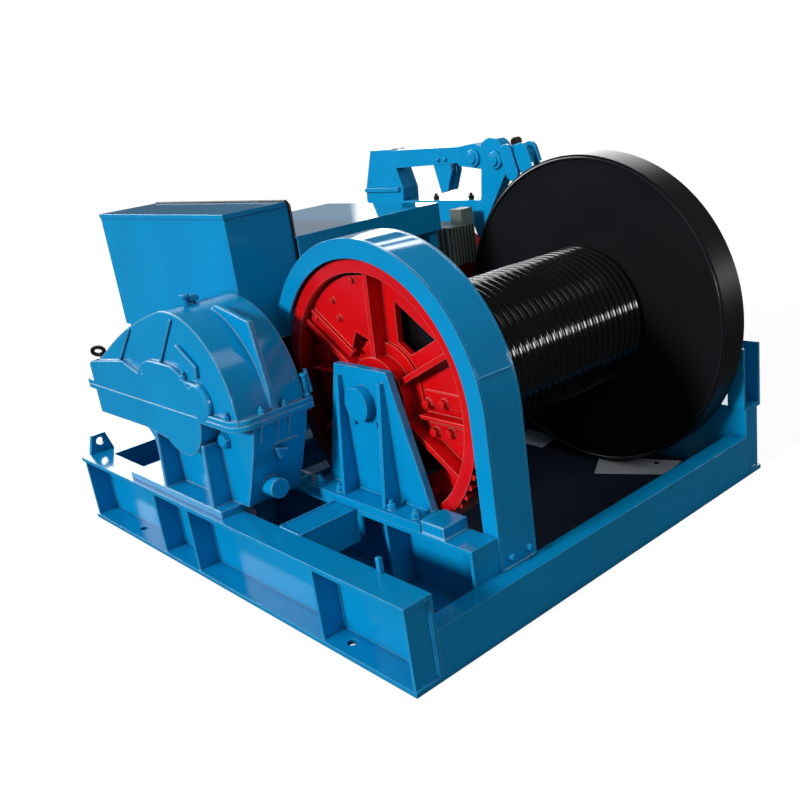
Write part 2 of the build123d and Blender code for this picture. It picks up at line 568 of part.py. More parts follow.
# Drum brake on the motor shaft
wheel_end = WHEEL_START + WHEEL_WIDTH
brake_middle = (WHEEL_START + wheel_end) / 2
arm_x = (brake_middle - ARM_THICK / 2, brake_middle + ARM_THICK / 2)
brake_base_top = CHANNEL_HEIGHT + BRAKE_BASE_THICK
pivot_drop = DRUM_AXIS_Z - brake_base_top
brake_base = box((WHEEL_START + 5, RIGHT), (INPUT_Y - THRUSTER_OFFSET - THRUSTER_RADIUS,
                                            INPUT_Y + ARM_REACH + 114),
                 (CHANNEL_HEIGHT, brake_base_top))
parts["brake_base"] = brake_base - rod(WHEEL_START - 5, RIGHT + 1, INPUT_Y, DRUM_AXIS_Z,
                                       WHEEL_RADIUS + 6)
lower_arm = [(ARM_REACH + 24, -pivot_drop), (ARM_REACH - 46, -pivot_drop),
             (ARM_REACH - 42, -146), (ARM_REACH - 2, -66), (ARM_REACH, 54),
             (ARM_REACH - 44, 154)]
front_top = [(ARM_REACH - 90, 275), (ARM_REACH - 31, 374), (ARM_REACH - 15, 478),
             (ARM_REACH - 136, 494), (ARM_REACH - 136, 564), (ARM_REACH - 40, 572),
             (ARM_REACH + 52, 532), (ARM_REACH + 110, 532), (ARM_REACH + 114, 464),
             (ARM_REACH + 92, 438), (ARM_REACH - 24, 275)]
rear_top = [(ARM_REACH - 54, 313), (ARM_REACH - 85, 367), (ARM_REACH - 94, 412),
            (ARM_REACH - 39, 572), (ARM_REACH + 86, 573), (ARM_REACH + 150, 416),
            (ARM_REACH + 156, 365), (ARM_REACH + 112, 313)]
outer_edge = [(ARM_REACH + 44, 94), (ARM_REACH + 60, -46)]
front_offsets = [(-out, up) for out, up in lower_arm + front_top + outer_edge]
front_arm = plate_x(about_axis(front_offsets, INPUT_Y), *arm_x)
parts["brake_front_arm"] = front_arm + rod(*arm_x, INPUT_Y - ARM_REACH - ARM_HEAD_REACH,
                                           DRUM_AXIS_Z + ARM_HEAD_HEIGHT, ARM_HEAD_RADIUS)
parts["brake_rear_arm"] = plate_x(about_axis(lower_arm + rear_top + outer_edge, INPUT_Y), *arm_x)
bar_outline = about_axis([(136 - ARM_REACH, 504), (ARM_REACH, 496), (ARM_REACH, 569),
                          (136 - ARM_REACH, 564)], INPUT_Y)
hanger_outline = about_axis([(-6, 492), (-35, 392), (-71, 400), (-107, 492), (-107, 530),
                             (-6, 530)], INPUT_Y)
top_bar = plate_x(bar_outline, *arm_x) + plate_x(hanger_outline, brake_middle - 8, brake_middle + 8)
parts["brake_top_bar"] = top_bar - parts["brake_rear_arm"]
guard_reach = ARM_REACH - 31
guard = box(arm_x, (INPUT_Y - guard_reach, INPUT_Y + guard_reach),
            (DRUM_AXIS_Z + WHEEL_RADIUS + GUARD_CLEARANCE, GUARD_TOP))
parts["brake_guard"] = guard - parts["brake_front_arm"] - parts["brake_rear_arm"]
fork_start = ARM_REACH + 100
fork_outline = about_axis([(-fork_start, 549), (-ARM_REACH - 168, 560), (-ARM_REACH - 227, 533),
                           (-ARM_REACH - 219, 470), (-ARM_REACH - 152, 455), (-fork_start, 464)],
                          INPUT_Y)
fork = plate_x(fork_outline, brake_middle - 15, brake_middle + 15)
parts["brake_fork"] = fork - parts["brake_front_arm"]
shoe_outer = WHEEL_RADIUS + LINING_GAP + SHOE_THICK
for name, side in (("brake_front_shoe", -1), ("brake_rear_shoe", 1)):
    far = 400
    spread = far * tan(radians(SHOE_HALF_ANGLE))
    sector = about_axis([(0, 0), (side * far, spread), (side * far, -spread)], INPUT_Y)
    shoe = ring_x(WHEEL_START + 10, wheel_end - 10, INPUT_Y, DRUM_AXIS_Z, shoe_outer,
                  WHEEL_RADIUS + LINING_GAP)
    shoe = shoe & plate_x(sector, WHEEL_START, wheel_end)
    parts[name] = shoe - parts["brake_front_arm"] - parts["brake_rear_arm"]
thruster_y = INPUT_Y - THRUSTER_OFFSET
thruster_top = brake_base_top + THRUSTER_HEIGHT
thruster = Pos(brake_middle, thruster_y, 0) * extrude(
    Plane.XY.offset(brake_base_top) * Circle(THRUSTER_RADIUS), amount=THRUSTER_HEIGHT)
thruster += Pos(brake_middle, thruster_y, 0) * extrude(
    Plane.XY.offset(thruster_top) * Circle(THRUSTER_ROD_RADIUS), amount=120)
parts["brake_thruster"] = thruster - parts["brake_fork"]

# Drum
flange_end = FLANGE_START + FLANGE_WIDTH
shaft = rod(shaft_start, shaft_end, DRUM_AXIS_Y, DRUM_AXIS_Z, JOURNAL_RADIUS)
parts["drum_shaft"] = shaft + rod(GEAR_START + JOURNAL_SHOULDER, flange_end - JOURNAL_SHOULDER,
                                  DRUM_AXIS_Y, DRUM_AXIS_Z, DRUM_SHAFT_RADIUS)


def rope_grooves(start, end):
    """The barrel with rope grooves, built as a row of flat-sided cones so it stays light."""
    count = round((end - start) / GROOVE_PITCH)
    half = (end - start) / count / 2
    root = BARREL_RADIUS - GROOVE_DEPTH
    crest = Plane.YZ * RegularPolygon(BARREL_RADIUS, GROOVE_SIDES)
    groove = Plane.YZ * RegularPolygon(root, GROOVE_SIDES)
    ridge = loft([groove, Pos(half, 0, 0) * crest]) + loft([Pos(half, 0, 0) * crest,
                                                           Pos(2 * half, 0, 0) * groove])
    row = [Pos(start + 2 * half * turn, DRUM_AXIS_Y, DRUM_AXIS_Z) * ridge for turn in range(count)]
    return row[0].fuse(*row[1:])


barrel = rope_grooves(DRUM_START, FLANGE_START)
barrel -= rod(DRUM_START - 1, FLANGE_START + 1, DRUM_AXIS_Y, DRUM_AXIS_Z, BARREL_RADIUS - BARREL_WALL)
parts["drum_barrel"] = barrel + ring_x(DRUM_START - NEAR_END_THICK, DRUM_START, DRUM_AXIS_Y,
                                       DRUM_AXIS_Z, BARREL_RADIUS + NEAR_END_LIP, DRUM_SHAFT_RADIUS)
flange = ring_x(FLANGE_START, FLANGE_START + FLANGE_FACE_THICK, DRUM_AXIS_Y, DRUM_AXIS_Z,
                FLANGE_RADIUS, DRUM_SHAFT_RADIUS)
flange += ring_x(FLANGE_START, flange_end, DRUM_AXIS_Y, DRUM_AXIS_Z, FLANGE_RADIUS,
                 FLANGE_RADIUS - FLANGE_RIM_THICK)
flange += ring_x(FLANGE_START, flange_end, DRUM_AXIS_Y, DRUM_AXIS_Z, FLANGE_HUB_RADIUS,
                 DRUM_SHAFT_RADIUS)
parts["drum_far_flange"] = flange

# Gear: toothed rim on a spider with ribbed spokes and windows between them
gear_end = GEAR_START + GEAR_WIDTH
parts["gear_rim"] = gear_blank(GEAR_TEETH, 0, DRUM_AXIS_Y) - rod(
    GEAR_START, gear_end, DRUM_AXIS_Y, DRUM_AXIS_Z, RIM_INNER_RADIUS)
web_end = GEAR_WEB_START + GEAR_WEB_THICK
spider = rod(GEAR_WEB_START, web_end, DRUM_AXIS_Y, DRUM_AXIS_Z, RIM_INNER_RADIUS)
spoke_rib = box((GEAR_START + SPOKE_SETBACK, gear_end - SPOKE_SETBACK),
                (GEAR_HUB_RADIUS - 10, RIM_INNER_RADIUS - 2), (-SPOKE_THICK / 2, SPOKE_THICK / 2))
for spoke in range(SPOKES):
    middle = radians(FIRST_SPOKE_ANGLE) + (spoke + 0.5) * 2 * pi / SPOKES
    window = []
    for radius, side in ((WINDOW_INNER_RADIUS, -1), (WINDOW_OUTER_RADIUS, -1),
                         (WINDOW_OUTER_RADIUS, 1), (WINDOW_INNER_RADIUS, 1)):
        angle = middle + side * (pi / SPOKES - asin(WINDOW_MARGIN / radius))
        window.append((radius * cos(angle), radius * sin(angle)))
    spider -= plate_x(about_axis(window, DRUM_AXIS_Y), GEAR_WEB_START, web_end)
    turn = FIRST_SPOKE_ANGLE + spoke * 360 / SPOKES
    spider += Pos(0, DRUM_AXIS_Y, DRUM_AXIS_Z) * Rot(turn, 0, 0) * spoke_rib
plate_middle = (GEAR_WEB_START + web_end) / 2
spider += rod(plate_middle - HUB_PLATE_THICK / 2, plate_middle + HUB_PLATE_THICK / 2, DRUM_AXIS_Y,
              DRUM_AXIS_Z, HUB_PLATE_RADIUS)
spider += rod(GEAR_START + 8, DRUM_START - NEAR_END_THICK, DRUM_AXIS_Y, DRUM_AXIS_Z,
              GEAR_HUB_RADIUS)
parts["gear_spider"] = spider - rod(GEAR_START, DRUM_START, DRUM_AXIS_Y, DRUM_AXIS_Z,
                                    DRUM_SHAFT_RADIUS)

# Pinion, cut in one piece with the reducer's output shaft
parts["pinion_shaft"] = gear_blank(PINION_TEETH, pi + pi / PINION_TEETH, OUTPUT_Y) + rod(
    REDUCER_NEAR + 62, gear_end + 8, OUTPUT_Y, DRUM_AXIS_Z, OUTPUT_SHAFT_RADIUS)

# Motor shaft with its coupling and brake wheel
parts["motor_shaft"] = rod(REDUCER_NEAR + 62, wheel_end + 20, INPUT_Y, DRUM_AXIS_Z,
                           MOTOR_SHAFT_RADIUS)
parts["coupling"] = ring_x(COUPLING_START, coupling_end, INPUT_Y, DRUM_AXIS_Z, COUPLING_RADIUS,
                           MOTOR_SHAFT_RADIUS)
web_middle = (WHEEL_START + wheel_end) / 2
wheel = ring_x(WHEEL_START, wheel_end, INPUT_Y, DRUM_AXIS_Z, WHEEL_RADIUS, WHEEL_RADIUS - WHEEL_RIM)
wheel += ring_x(web_middle - WHEEL_WEB / 2, web_middle + WHEEL_WEB / 2, INPUT_Y, DRUM_AXIS_Z,
                WHEEL_RADIUS - WHEEL_RIM / 2, MOTOR_SHAFT_RADIUS)
parts["brake_wheel"] = wheel

os.makedirs("parts", exist_ok=True)
for name, shape in parts.items():
    export_step(shape, f"parts/{name}.step")
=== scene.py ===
# %% [markdown]
# Electric anchor windlass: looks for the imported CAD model.
# A slow winch like this is a welded channel base with a reducer, an open gear stage under a
# guard, a grooved rope drum, and a drum brake. The solids come ready made; this lesson gives
# them their enamel, bare steel and small fittings, and lights them as a plain product shot.

# %% Load the solids
import json
from math import atan2, cos, hypot, pi, radians, sin

import bmesh
import bpy
from mathutils import Matrix, Vector


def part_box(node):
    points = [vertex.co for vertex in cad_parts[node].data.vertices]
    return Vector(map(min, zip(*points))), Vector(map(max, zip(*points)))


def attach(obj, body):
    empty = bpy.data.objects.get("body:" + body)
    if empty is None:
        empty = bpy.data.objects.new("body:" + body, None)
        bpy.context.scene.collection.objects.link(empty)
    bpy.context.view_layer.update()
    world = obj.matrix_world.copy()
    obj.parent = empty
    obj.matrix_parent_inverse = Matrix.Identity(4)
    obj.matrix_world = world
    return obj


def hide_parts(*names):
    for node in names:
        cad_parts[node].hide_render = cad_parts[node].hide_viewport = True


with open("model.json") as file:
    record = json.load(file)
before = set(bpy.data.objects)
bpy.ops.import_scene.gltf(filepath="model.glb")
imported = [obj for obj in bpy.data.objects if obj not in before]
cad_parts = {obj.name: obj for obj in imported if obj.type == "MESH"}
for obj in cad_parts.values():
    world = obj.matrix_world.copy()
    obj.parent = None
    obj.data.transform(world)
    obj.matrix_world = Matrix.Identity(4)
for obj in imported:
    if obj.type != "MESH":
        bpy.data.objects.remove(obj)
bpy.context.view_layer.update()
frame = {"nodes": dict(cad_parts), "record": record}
nodes = frame["nodes"]

# %% [markdown]
# Sizes are worked out from the solids themselves, so that every fitting sits on what
# carries it. A node's box gives its lowest and highest corner in metres.

# %% Read the driving sizes from the solids
MM = 0.001


def low(node):
    """Lowest corner of a node."""
    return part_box(node)[0]


def high(node):
    """Highest corner of a node."""
    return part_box(node)[1]


def middle(node):
    """Middle of a node's box."""
    return (low(node) + high(node)) / 2


LEFT, RIGHT = low("left_beam").x, high("right_beam").x
FRONT, REAR = low("left_beam").y, high("left_beam").y
CHANNEL_TOP = high("left_beam").z
CHANNEL_FLANGE = high("left_beam").x - LEFT
DRUM_Y, DRUM_Z = middle("drum_far_flange").y, middle("drum_far_flange").z
FLANGE_RADIUS = high("drum_far_flange").z - DRUM_Z
FLANGE_NEAR, FLANGE_FAR = low("drum_far_flange").x, high("drum_far_flange").x
INPUT_Y = middle("brake_wheel").y
OUTPUT_Y = middle("pinion_shaft").y
X_AXIS, Y_AXIS, Z_AXIS = Vector((1, 0, 0)), Vector((0, 1, 0)), Vector((0, 0, 1))
print("drum axis", round(DRUM_Y, 3), round(DRUM_Z, 3), "flange radius", round(FLANGE_RADIUS, 3))

# %% [markdown]
# The camera stands in front of the reducer corner, a little above the drum. Its place, turn
# and focal length were solved from edges of the base and the drum that are square to each
# other, so a straight channel in the render lies on the same line as in the photograph.

# %% Camera
PHOTO_SIDE = 800.0
SENSOR_WIDTH = 36.0
FOCAL_PIXELS = 929.26
PRINCIPAL_X, PRINCIPAL_Y = 426.53, 426.48
CAMERA_PLACE = Vector((-1.8745, -2.3792, 1.3236))
VIEW_TURN = Vector((1.76640446, -0.78244765, 0.37437196))

scene = bpy.context.scene
camera_data = bpy.data.cameras.new("camera")
camera_data.sensor_width = SENSOR_WIDTH
camera_data.lens = FOCAL_PIXELS * SENSOR_WIDTH / PHOTO_SIDE
camera_data.shift_x = (PHOTO_SIDE / 2 - PRINCIPAL_X) / PHOTO_SIDE
camera_data.shift_y = (PRINCIPAL_Y - PHOTO_SIDE / 2) / PHOTO_SIDE
camera = bpy.data.objects.new("camera", camera_data)
world_to_view = Matrix.Rotation(VIEW_TURN.length, 3, VIEW_TURN.normalized())
view_to_world = world_to_view.transposed() @ Matrix.Diagonal((1, -1, -1))
camera.matrix_world = Matrix.Translation(CAMERA_PLACE) @ view_to_world.to_4x4()
scene.collection.objects.link(camera)
scene.camera = camera
print("lens", round(camera_data.lens, 2), "mm")

# %% [markdown]
# The photograph has its brightest light from the reducer side, and the faces towards the
# front of the drum get only the light of the room. One broad key light, one weak light
# from the front and one from the far back, and an even pale world give that, and keep the
# back readable when the model is turned. The three lights only light the paint: what the
# gloss mirrors is a dim hall with a row of bright windows, which is drawn in the world.

# %% Lights
KEY_STRENGTH = 3.2
FRONT_STRENGTH = 0.46
BACK_STRENGTH = 0.5

scene.view_settings.view_transform = "Standard"


def sun(name, towards, strength, softness):
    """A distant light that shines from the direction towards and isn't seen in gloss."""
    data = bpy.data.lights.new(name, "SUN")
    data.energy = strength
    data.angle = radians(softness)
    light = bpy.data.objects.new(name, data)
    light.rotation_euler = Vector(towards).to_track_quat("Z", "Y").to_euler()
    light.visible_glossy = False
    scene.collection.objects.link(light)
    return light


sun("key_light", (-1.0, 0.04, 0.45), KEY_STRENGTH, 10)
sun("front_light", (-0.1, -1.0, 0.7), FRONT_STRENGTH, 40)
sun("back_light", (0.7, 0.8, 0.9), BACK_STRENGTH, 30)

# %% [markdown]
# In gloss the hall is dim all round, paler towards the back where level tops are seen at a
# flat angle, and has a few windows, each given by the range of its azimuth and elevation in
# degrees. The back window has dark bars between its panes, so the top of the guard mirrors
# it as white stripes. A low one at the right puts a short glint on each ridge of the drum,
# and one over the reducer side and one in the roof give rounded edges their bright line. The
# floor stays dull for bounced light, because a bright floor would wash the deep blue out.

# %% World and floor
ROOM_STRENGTH = 0.22
GLOSS_ROOM_STRENGTH = 0.10
WINDOW_EDGE = radians(1.2)
WINDOWS = {"back, lowest pane": (38.8, 51.7, 5.5, 20, 9.0), "back, middle pane": (33, 51, 30.2, 32.2, 8.0),
           "back, upper pane": (29, 48, 35.6, 38.4, 8.0), "haze over the canopy": (40, 57.3, -2, 10, 0.30),
           "back, over the flange": (19, 38.7, 4, 31, 4.0), "right": (-44, -36, 3.5, 10.5, 26.0),
           "front": (-108, -82, 6, 13, 20.0), "behind the reducer": (64, 122, 13, 56, 6.0),
           "roof": (-62, -37, 40, 58, 1.8)}
GLOSSY_FLOOR_SHARE = 0.35
DULL_FLOOR_FOR_BOUNCES = 0.22


def add(tree, kind, settings=None, links=None):
    """Adds one node: settings are attributes or input values, links are sockets into inputs."""
    made = tree.nodes.new(kind)
    for key, value in (settings or {}).items():
        if isinstance(key, str) and hasattr(made, key):
            setattr(made, key, value)
        else:
            made.inputs[key].default_value = value
    for key, socket in (links or {}).items():
        tree.links.new(socket, made.inputs[key])
    return made


def product(tree, first, second, operation="MULTIPLY"):
    """Multiplies two values, or adds them or takes their angle; the second may be a number."""
    if isinstance(second, float):
        return add(tree, "ShaderNodeMath", {"operation": operation, 1: second}, {0: first}).outputs[0]
    return add(tree, "ShaderNodeMath", {"operation": operation}, {0: first, 1: second}).outputs[0]


def between(tree, angle, lowest, highest):
    """1 where an angle in radians lies between two limits in degrees, with soft edges."""
    rising = add(tree, "ShaderNodeMapRange",
                 {"From Min": radians(lowest) - WINDOW_EDGE, "From Max": radians(lowest) + WINDOW_EDGE},
                 {0: angle})
    falling = add(tree, "ShaderNodeMapRange",
                  {"From Min": radians(highest) + WINDOW_EDGE, "From Max": radians(highest) - WINDOW_EDGE},
                  {0: angle})
    return product(tree, rising.outputs[0], falling.outputs[0])


world = bpy.data.worlds.new("white_room")
scene.world = world
world.use_nodes = True
tree = world.node_tree
tree.nodes.clear()
ray = add(tree, "ShaderNodeLightPath")
direction = add(tree, "ShaderNodeSeparateXYZ", {},
                {0: add(tree, "ShaderNodeTexCoord").outputs["Generated"]})
azimuth = product(tree, direction.outputs["Y"], direction.outputs["X"], "ARCTAN2")
elevation = add(tree, "ShaderNodeMath", {"operation": "ARCSINE"}, {0: direction.outputs["Z"]}).outputs[0]
hall = add(tree, "ShaderNodeValue")
hall.outputs[0].default_value = GLOSS_ROOM_STRENGTH
hall = hall.outputs[0]
for from_side, to_side, from_height, to_height, strength in WINDOWS.values():
    pane = product(tree, between(tree, azimuth, from_side, to_side),
                   between(tree, elevation, from_height, to_height))
    hall = add(tree, "ShaderNodeMath", {"operation": "MULTIPLY_ADD", 1: strength},
               {0: pane, 2: hall}).outputs[0]
for_gloss = add(tree, "ShaderNodeMix", {"data_type": "FLOAT", 2: ROOM_STRENGTH},
                {0: ray.outputs["Is Glossy Ray"], 3: hall})
room = add(tree, "ShaderNodeBackground", {"Color": (1, 1, 1, 1)}, {"Strength": for_gloss.outputs[0]})
backdrop = add(tree, "ShaderNodeBackground", {"Color": (1, 1, 1, 1), "Strength": 1.0})
seen = add(tree, "ShaderNodeMixShader", {},
           {0: ray.outputs["Is Camera Ray"], 1: room.outputs[0], 2: backdrop.outputs[0]})
add(tree, "ShaderNodeOutputWorld", {}, {0: seen.outputs[0]})

FLOOR_SIDE = 40.0
FLOOR_GLOW, FLOOR_GLOW_SHARE = 1.16, 0.78
floor_mesh = bpy.data.meshes.new("floor")
half = FLOOR_SIDE / 2
floor_mesh.from_pydata([(-half, -half, 0), (half, -half, 0), (half, half, 0), (-half, half, 0)],
                       [], [(0, 1, 2, 3)])
floor = bpy.data.objects.new("floor", floor_mesh)
scene.collection.objects.link(floor)
floor_finish = bpy.data.materials.new("white_floor")
floor_finish.use_nodes = True
tree = floor_finish.node_tree
tree.nodes.clear()
floor_ray = add(tree, "ShaderNodeLightPath")
floor_tone = add(tree, "ShaderNodeMapRange", {"To Min": DULL_FLOOR_FOR_BOUNCES, "To Max": 0.8},
                 {0: floor_ray.outputs["Is Camera Ray"]})
in_gloss = add(tree, "ShaderNodeMapRange", {"To Min": 1.0, "To Max": GLOSSY_FLOOR_SHARE},
               {0: floor_ray.outputs["Is Glossy Ray"]})
matt = add(tree, "ShaderNodeBsdfDiffuse", {},
           {"Color": product(tree, floor_tone.outputs[0], in_gloss.outputs[0])})
glow = add(tree, "ShaderNodeEmission", {"Color": (1, 1, 1, 1), "Strength": FLOOR_GLOW})
glow_share = add(tree, "ShaderNodeMath", {"operation": "MULTIPLY", 1: FLOOR_GLOW_SHARE},
                 {0: floor_ray.outputs["Is Camera Ray"]})
floor_mix = add(tree, "ShaderNodeMixShader", {},
                {0: glow_share.outputs[0], 1: matt.outputs[0], 2: glow.outputs[0]})
add(tree, "ShaderNodeOutputMaterial", {}, {0: floor_mix.outputs[0]})
floor_mesh.materials.append(floor_finish)

# %% [markdown]
# Deck machinery is brushed and sprayed with alkyd enamel over primer: a thick, glossy film
# that shows a fine orange peel and is never quite even in colour. Each enamel gets a slow
# change of tone, a fine ripple in its gloss, and rounded edges, because the film rounds every
# cut plate by two or three millimetres. On the rounded edge the colour is painted paler, a
# painted highlight where the rounded normal and the flat one part. Corners that see little of
# the room are painted darker: painted shade.

# %% Enamel
ORANGE_PEEL_MM = 7.0
BRUSH_PATCH_MM = 260.0
EDGE_ROUND_MM = 3.0
CORNER_SHADE_MM = 45.0
CAST_LUMP_MM = 90.0


def linear(hex_colour):
    """An sRGB hex colour as linear RGBA."""
    channels = [int(hex_colour[i:i + 2], 16) / 255 for i in (1, 3, 5)]
    return [c / 12.92 if c <= 0.04045 else ((c + 0.055) / 1.055) ** 2.4 for c in channels] + [1.0]


def start_finish(name):
    """A material with an empty tree, its object coordinates and its output."""
    finish = bpy.data.materials.new(name)
    finish.use_nodes = True
    finish.node_tree.nodes.clear()
    place = add(finish.node_tree, "ShaderNodeTexCoord")
    output = add(finish.node_tree, "ShaderNodeOutputMaterial")
    return finish, finish.node_tree, place.outputs["Object"], output


def blend(tree, first, second, factor):
    """Mixes two colours: each is a socket or four numbers, factor is a socket."""
    mixed = add(tree, "ShaderNodeMix", {"data_type": "RGBA"}, {0: factor})
    for index, colour in ((6, first), (7, second)):
        if isinstance(colour, (list, tuple)):
            mixed.inputs[index].default_value = colour
        else:
            tree.links.new(colour, mixed.inputs[index])
    return mixed.outputs[2]


def enamel(name, colour, shade, edge, corner_shade, roughness, specular, peel=0.10,
           coated_part=None, edge_round=EDGE_ROUND_MM, edge_highlight_share=0.55, lumps=0.0):
    """Glossy paint over steel: tone patches, painted edge highlights and painted corner shade."""
    finish, tree, place, output = start_finish(name)
    patch = add(tree, "ShaderNodeTexNoise",
                {"Scale": 1 / (BRUSH_PATCH_MM * MM), "Detail": 5.0, "Roughness": 0.6},
                {"Vector": place})
    tone = add(tree, "ShaderNodeMapRange", {"From Min": 0.35, "From Max": 0.75}, {0: patch.outputs[0]})
    paint = blend(tree, linear(colour), linear(shade), tone.outputs[0])
    rounded = add(tree, "ShaderNodeBevel", {"samples": 4, "Radius": edge_round * MM})
    flat = add(tree, "ShaderNodeNewGeometry")
    agree = add(tree, "ShaderNodeVectorMath", {"operation": "DOT_PRODUCT"},
                {0: rounded.outputs[0], 1: flat.outputs["Normal"]})
    # Painted highlight: the colour is made paler where the rounded normal parts from the flat one.
    painted_edge_highlight = add(tree, "ShaderNodeMapRange",
                  {"From Min": 0.985, "From Max": 0.80, "To Max": edge_highlight_share}, {0: agree.outputs["Value"]})
    paint = blend(tree, paint, linear(edge), painted_edge_highlight.outputs[0])
    # Painted shade: corners that see little of the room are darkened.
    corner = add(tree, "ShaderNodeAmbientOcclusion", {"samples": 4, "Distance": CORNER_SHADE_MM * MM})
    painted_corner_shade = add(tree, "ShaderNodeMapRange",
                    {"From Min": 0.75, "From Max": 0.25, "To Max": 0.6}, {0: corner.outputs["AO"]})
    paint = blend(tree, paint, linear(corner_shade), painted_corner_shade.outputs[0])
    if coated_part:
        paint = coated_part(tree, place, paint)
    gloss = add(tree, "ShaderNodeMapRange",
                {"To Min": roughness - 0.03, "To Max": roughness + 0.05}, {0: patch.outputs[0]})
    ripple = add(tree, "ShaderNodeTexNoise", {"Scale": 1 / (ORANGE_PEEL_MM * MM), "Detail": 2.0},
                 {"Vector": place})
    bump = add(tree, "ShaderNodeBump", {"Strength": peel, "Distance": 0.4 * MM},
               {"Height": ripple.outputs[0], "Normal": rounded.outputs[0]})
    if lumps:
        cast = add(tree, "ShaderNodeTexNoise", {"Scale": 1 / (CAST_LUMP_MM * MM), "Detail": 1.0},
                   {"Vector": place})
        bump = add(tree, "ShaderNodeBump", {"Strength": lumps, "Distance": 4 * MM},
                   {"Height": cast.outputs[0], "Normal": bump.outputs[0]})
    shader = add(tree, "ShaderNodeBsdfPrincipled", {"Specular IOR Level": specular},
                 {"Base Color": paint, "Roughness": gloss.outputs[0], "Normal": bump.outputs[0]})
    tree.links.new(shader.outputs[0], output.inputs[0])
    return finish


# In each enamel the third colour is a painted edge highlight and the fourth a painted corner shade.
BLUE = ("#068FC8", "#0486BD", "#8FD0EE", "#053A5E")
BLUE_ENAMEL = enamel("blue_alkyd_enamel", *BLUE, 0.12, 0.45, edge_highlight_share=0.38)
BLUE_GLOSS_ENAMEL = enamel("blue_enamel_sprayed_last", *BLUE, 0.04, 0.5, peel=0.015,
                           edge_highlight_share=0.35)
BLUE_CAST_ENAMEL = enamel("blue_enamel_on_casting", *BLUE[:2], "#B4E2F6", BLUE[3], 0.12, 0.5, edge_round=8.0, edge_highlight_share=0.62, lumps=0.3)
# The lip's pale grey edge colour is a painted highlight.
LIP_ENAMEL = enamel("black_lip_enamel_painted_highlight", "#1C1D20", "#141517", "#9A9DA2", "#0A0A0C", 0.2, 0.5,
                    peel=0.05, edge_round=3.0, edge_highlight_share=0.6)
BLACK_ENAMEL = enamel("black_drum_enamel", "#17181A", "#111214", "#34363A", "#0A0A0C", 0.34, 0.14,
                      peel=0.05, edge_highlight_share=0.3)
GREASED_BLACK = enamel("greased_black_barrel", "#121213", "#0C0C0D", "#161617", "#040404", 0.08, 0.5,
                       peel=0.04, edge_highlight_share=0.2)
GREEN_GREY_ENAMEL = enamel("green_grey_motor_enamel", "#66726B", "#4C5650", "#7E8983", "#262C29",
                           0.45, 0.4)
# The floor plates inside the frame are painted dark: painted shade for the shadowed floor under the machine.
FLOOR_PLATE_PAINTED_SHADE = enamel("floor_plate_painted_shade", "#2A3448", "#202738", "#24384A", "#05070A", 0.62, 0.15)

# %% [markdown]
# The big gear is painted red and then run in open grease. The grease is dark and wet on the
# teeth and creeps inwards from their roots in streaks, so the finish asks how far a point is
# from the drum axis and breaks that edge up with a rough noise.

# %% Red enamel with grease on the teeth
TOOTH_ROOT_RADIUS = 0.366
GREASE_CREEP = 0.022
PINION_SIDE_STREAKS = 0.10


def grease_on_teeth(tree, place, paint):
    """Covers the paint with dark grease beyond the tooth roots."""
    from_axis = add(tree, "ShaderNodeVectorMath",
                    {"operation": "SUBTRACT", 1: (0, DRUM_Y, DRUM_Z)}, {0: place})
    across = add(tree, "ShaderNodeVectorMath", {"operation": "MULTIPLY", 1: (0, 1, 1)},
                 {0: from_axis.outputs[0]})
    radius = add(tree, "ShaderNodeVectorMath", {"operation": "LENGTH"}, {0: across.outputs[0]})
    streaks = add(tree, "ShaderNodeTexNoise", {"Scale": 22.0, "Detail": 6.0, "Roughness": 0.7},
                  {"Vector": place})
    pushed = add(tree, "ShaderNodeMath",
                 {"operation": "MULTIPLY_ADD", 1: 2 * GREASE_CREEP},
                 {0: streaks.outputs[0], 2: radius.outputs["Value"]})
    cover = add(tree, "ShaderNodeMapRange",
                {"From Min": TOOTH_ROOT_RADIUS + GREASE_CREEP, "From Max": TOOTH_ROOT_RADIUS
                 + 1.6 * GREASE_CREEP, "To Max": 0.92}, {0: pushed.outputs[0]})
    surface = add(tree, "ShaderNodeNewGeometry")
    side_on = add(tree, "ShaderNodeVectorMath", {"operation": "DOT_PRODUCT", 1: (1, 0, 0)},
                  {0: surface.outputs["Normal"]})
    side_face = add(tree, "ShaderNodeMath", {"operation": "ABSOLUTE"}, {0: side_on.outputs["Value"]})
    wiped = add(tree, "ShaderNodeMapRange", {"From Min": 0.5, "From Max": 0.7, "To Min": 1.0,
                                             "To Max": 0.12}, {0: side_face.outputs[0]})
    low_side = add(tree, "ShaderNodeVectorMath", {"operation": "DOT_PRODUCT", 1: (0, 0.55, -0.83)},
                   {0: across.outputs[0]})
    fresh = add(tree, "ShaderNodeMapRange", {"From Min": -0.10, "From Max": 0.12}, {0: low_side.outputs["Value"]})
    cover = product(tree, product(tree, cover.outputs[0], wiped.outputs[0]), fresh.outputs[0])
    # The paint is also made darker in streaks towards the pinion side of the gear.
    pinion_side = add(tree, "ShaderNodeVectorMath", {"operation": "DOT_PRODUCT", 1: (0, 0.93, -0.37)},
                      {0: across.outputs[0]})
    toward_pinion = product(tree, pinion_side.outputs["Value"], product(tree, streaks.outputs[0], PINION_SIDE_STREAKS), "ADD")
    pinion_side_darkening = add(tree, "ShaderNodeMapRange", {"From Min": 0.27, "From Max": 0.39, "To Max": 0.93},
                {0: toward_pinion})
    paint = blend(tree, paint, linear("#120806"), pinion_side_darkening.outputs[0])
    return blend(tree, paint, linear("#160A08"), cover)


# The pale pink edge colour is a painted highlight and the dark red a painted corner shade.
RED = ("#D81014", "#C40C10", "#FFA296", "#5A0406", 0.16, 0.45)
RED_ENAMEL = enamel("red_alkyd_enamel", *RED, edge_highlight_share=0.7)
GREASED_RED_ENAMEL = enamel("greased_red_enamel", *RED, coated_part=grease_on_teeth, edge_highlight_share=0.75)
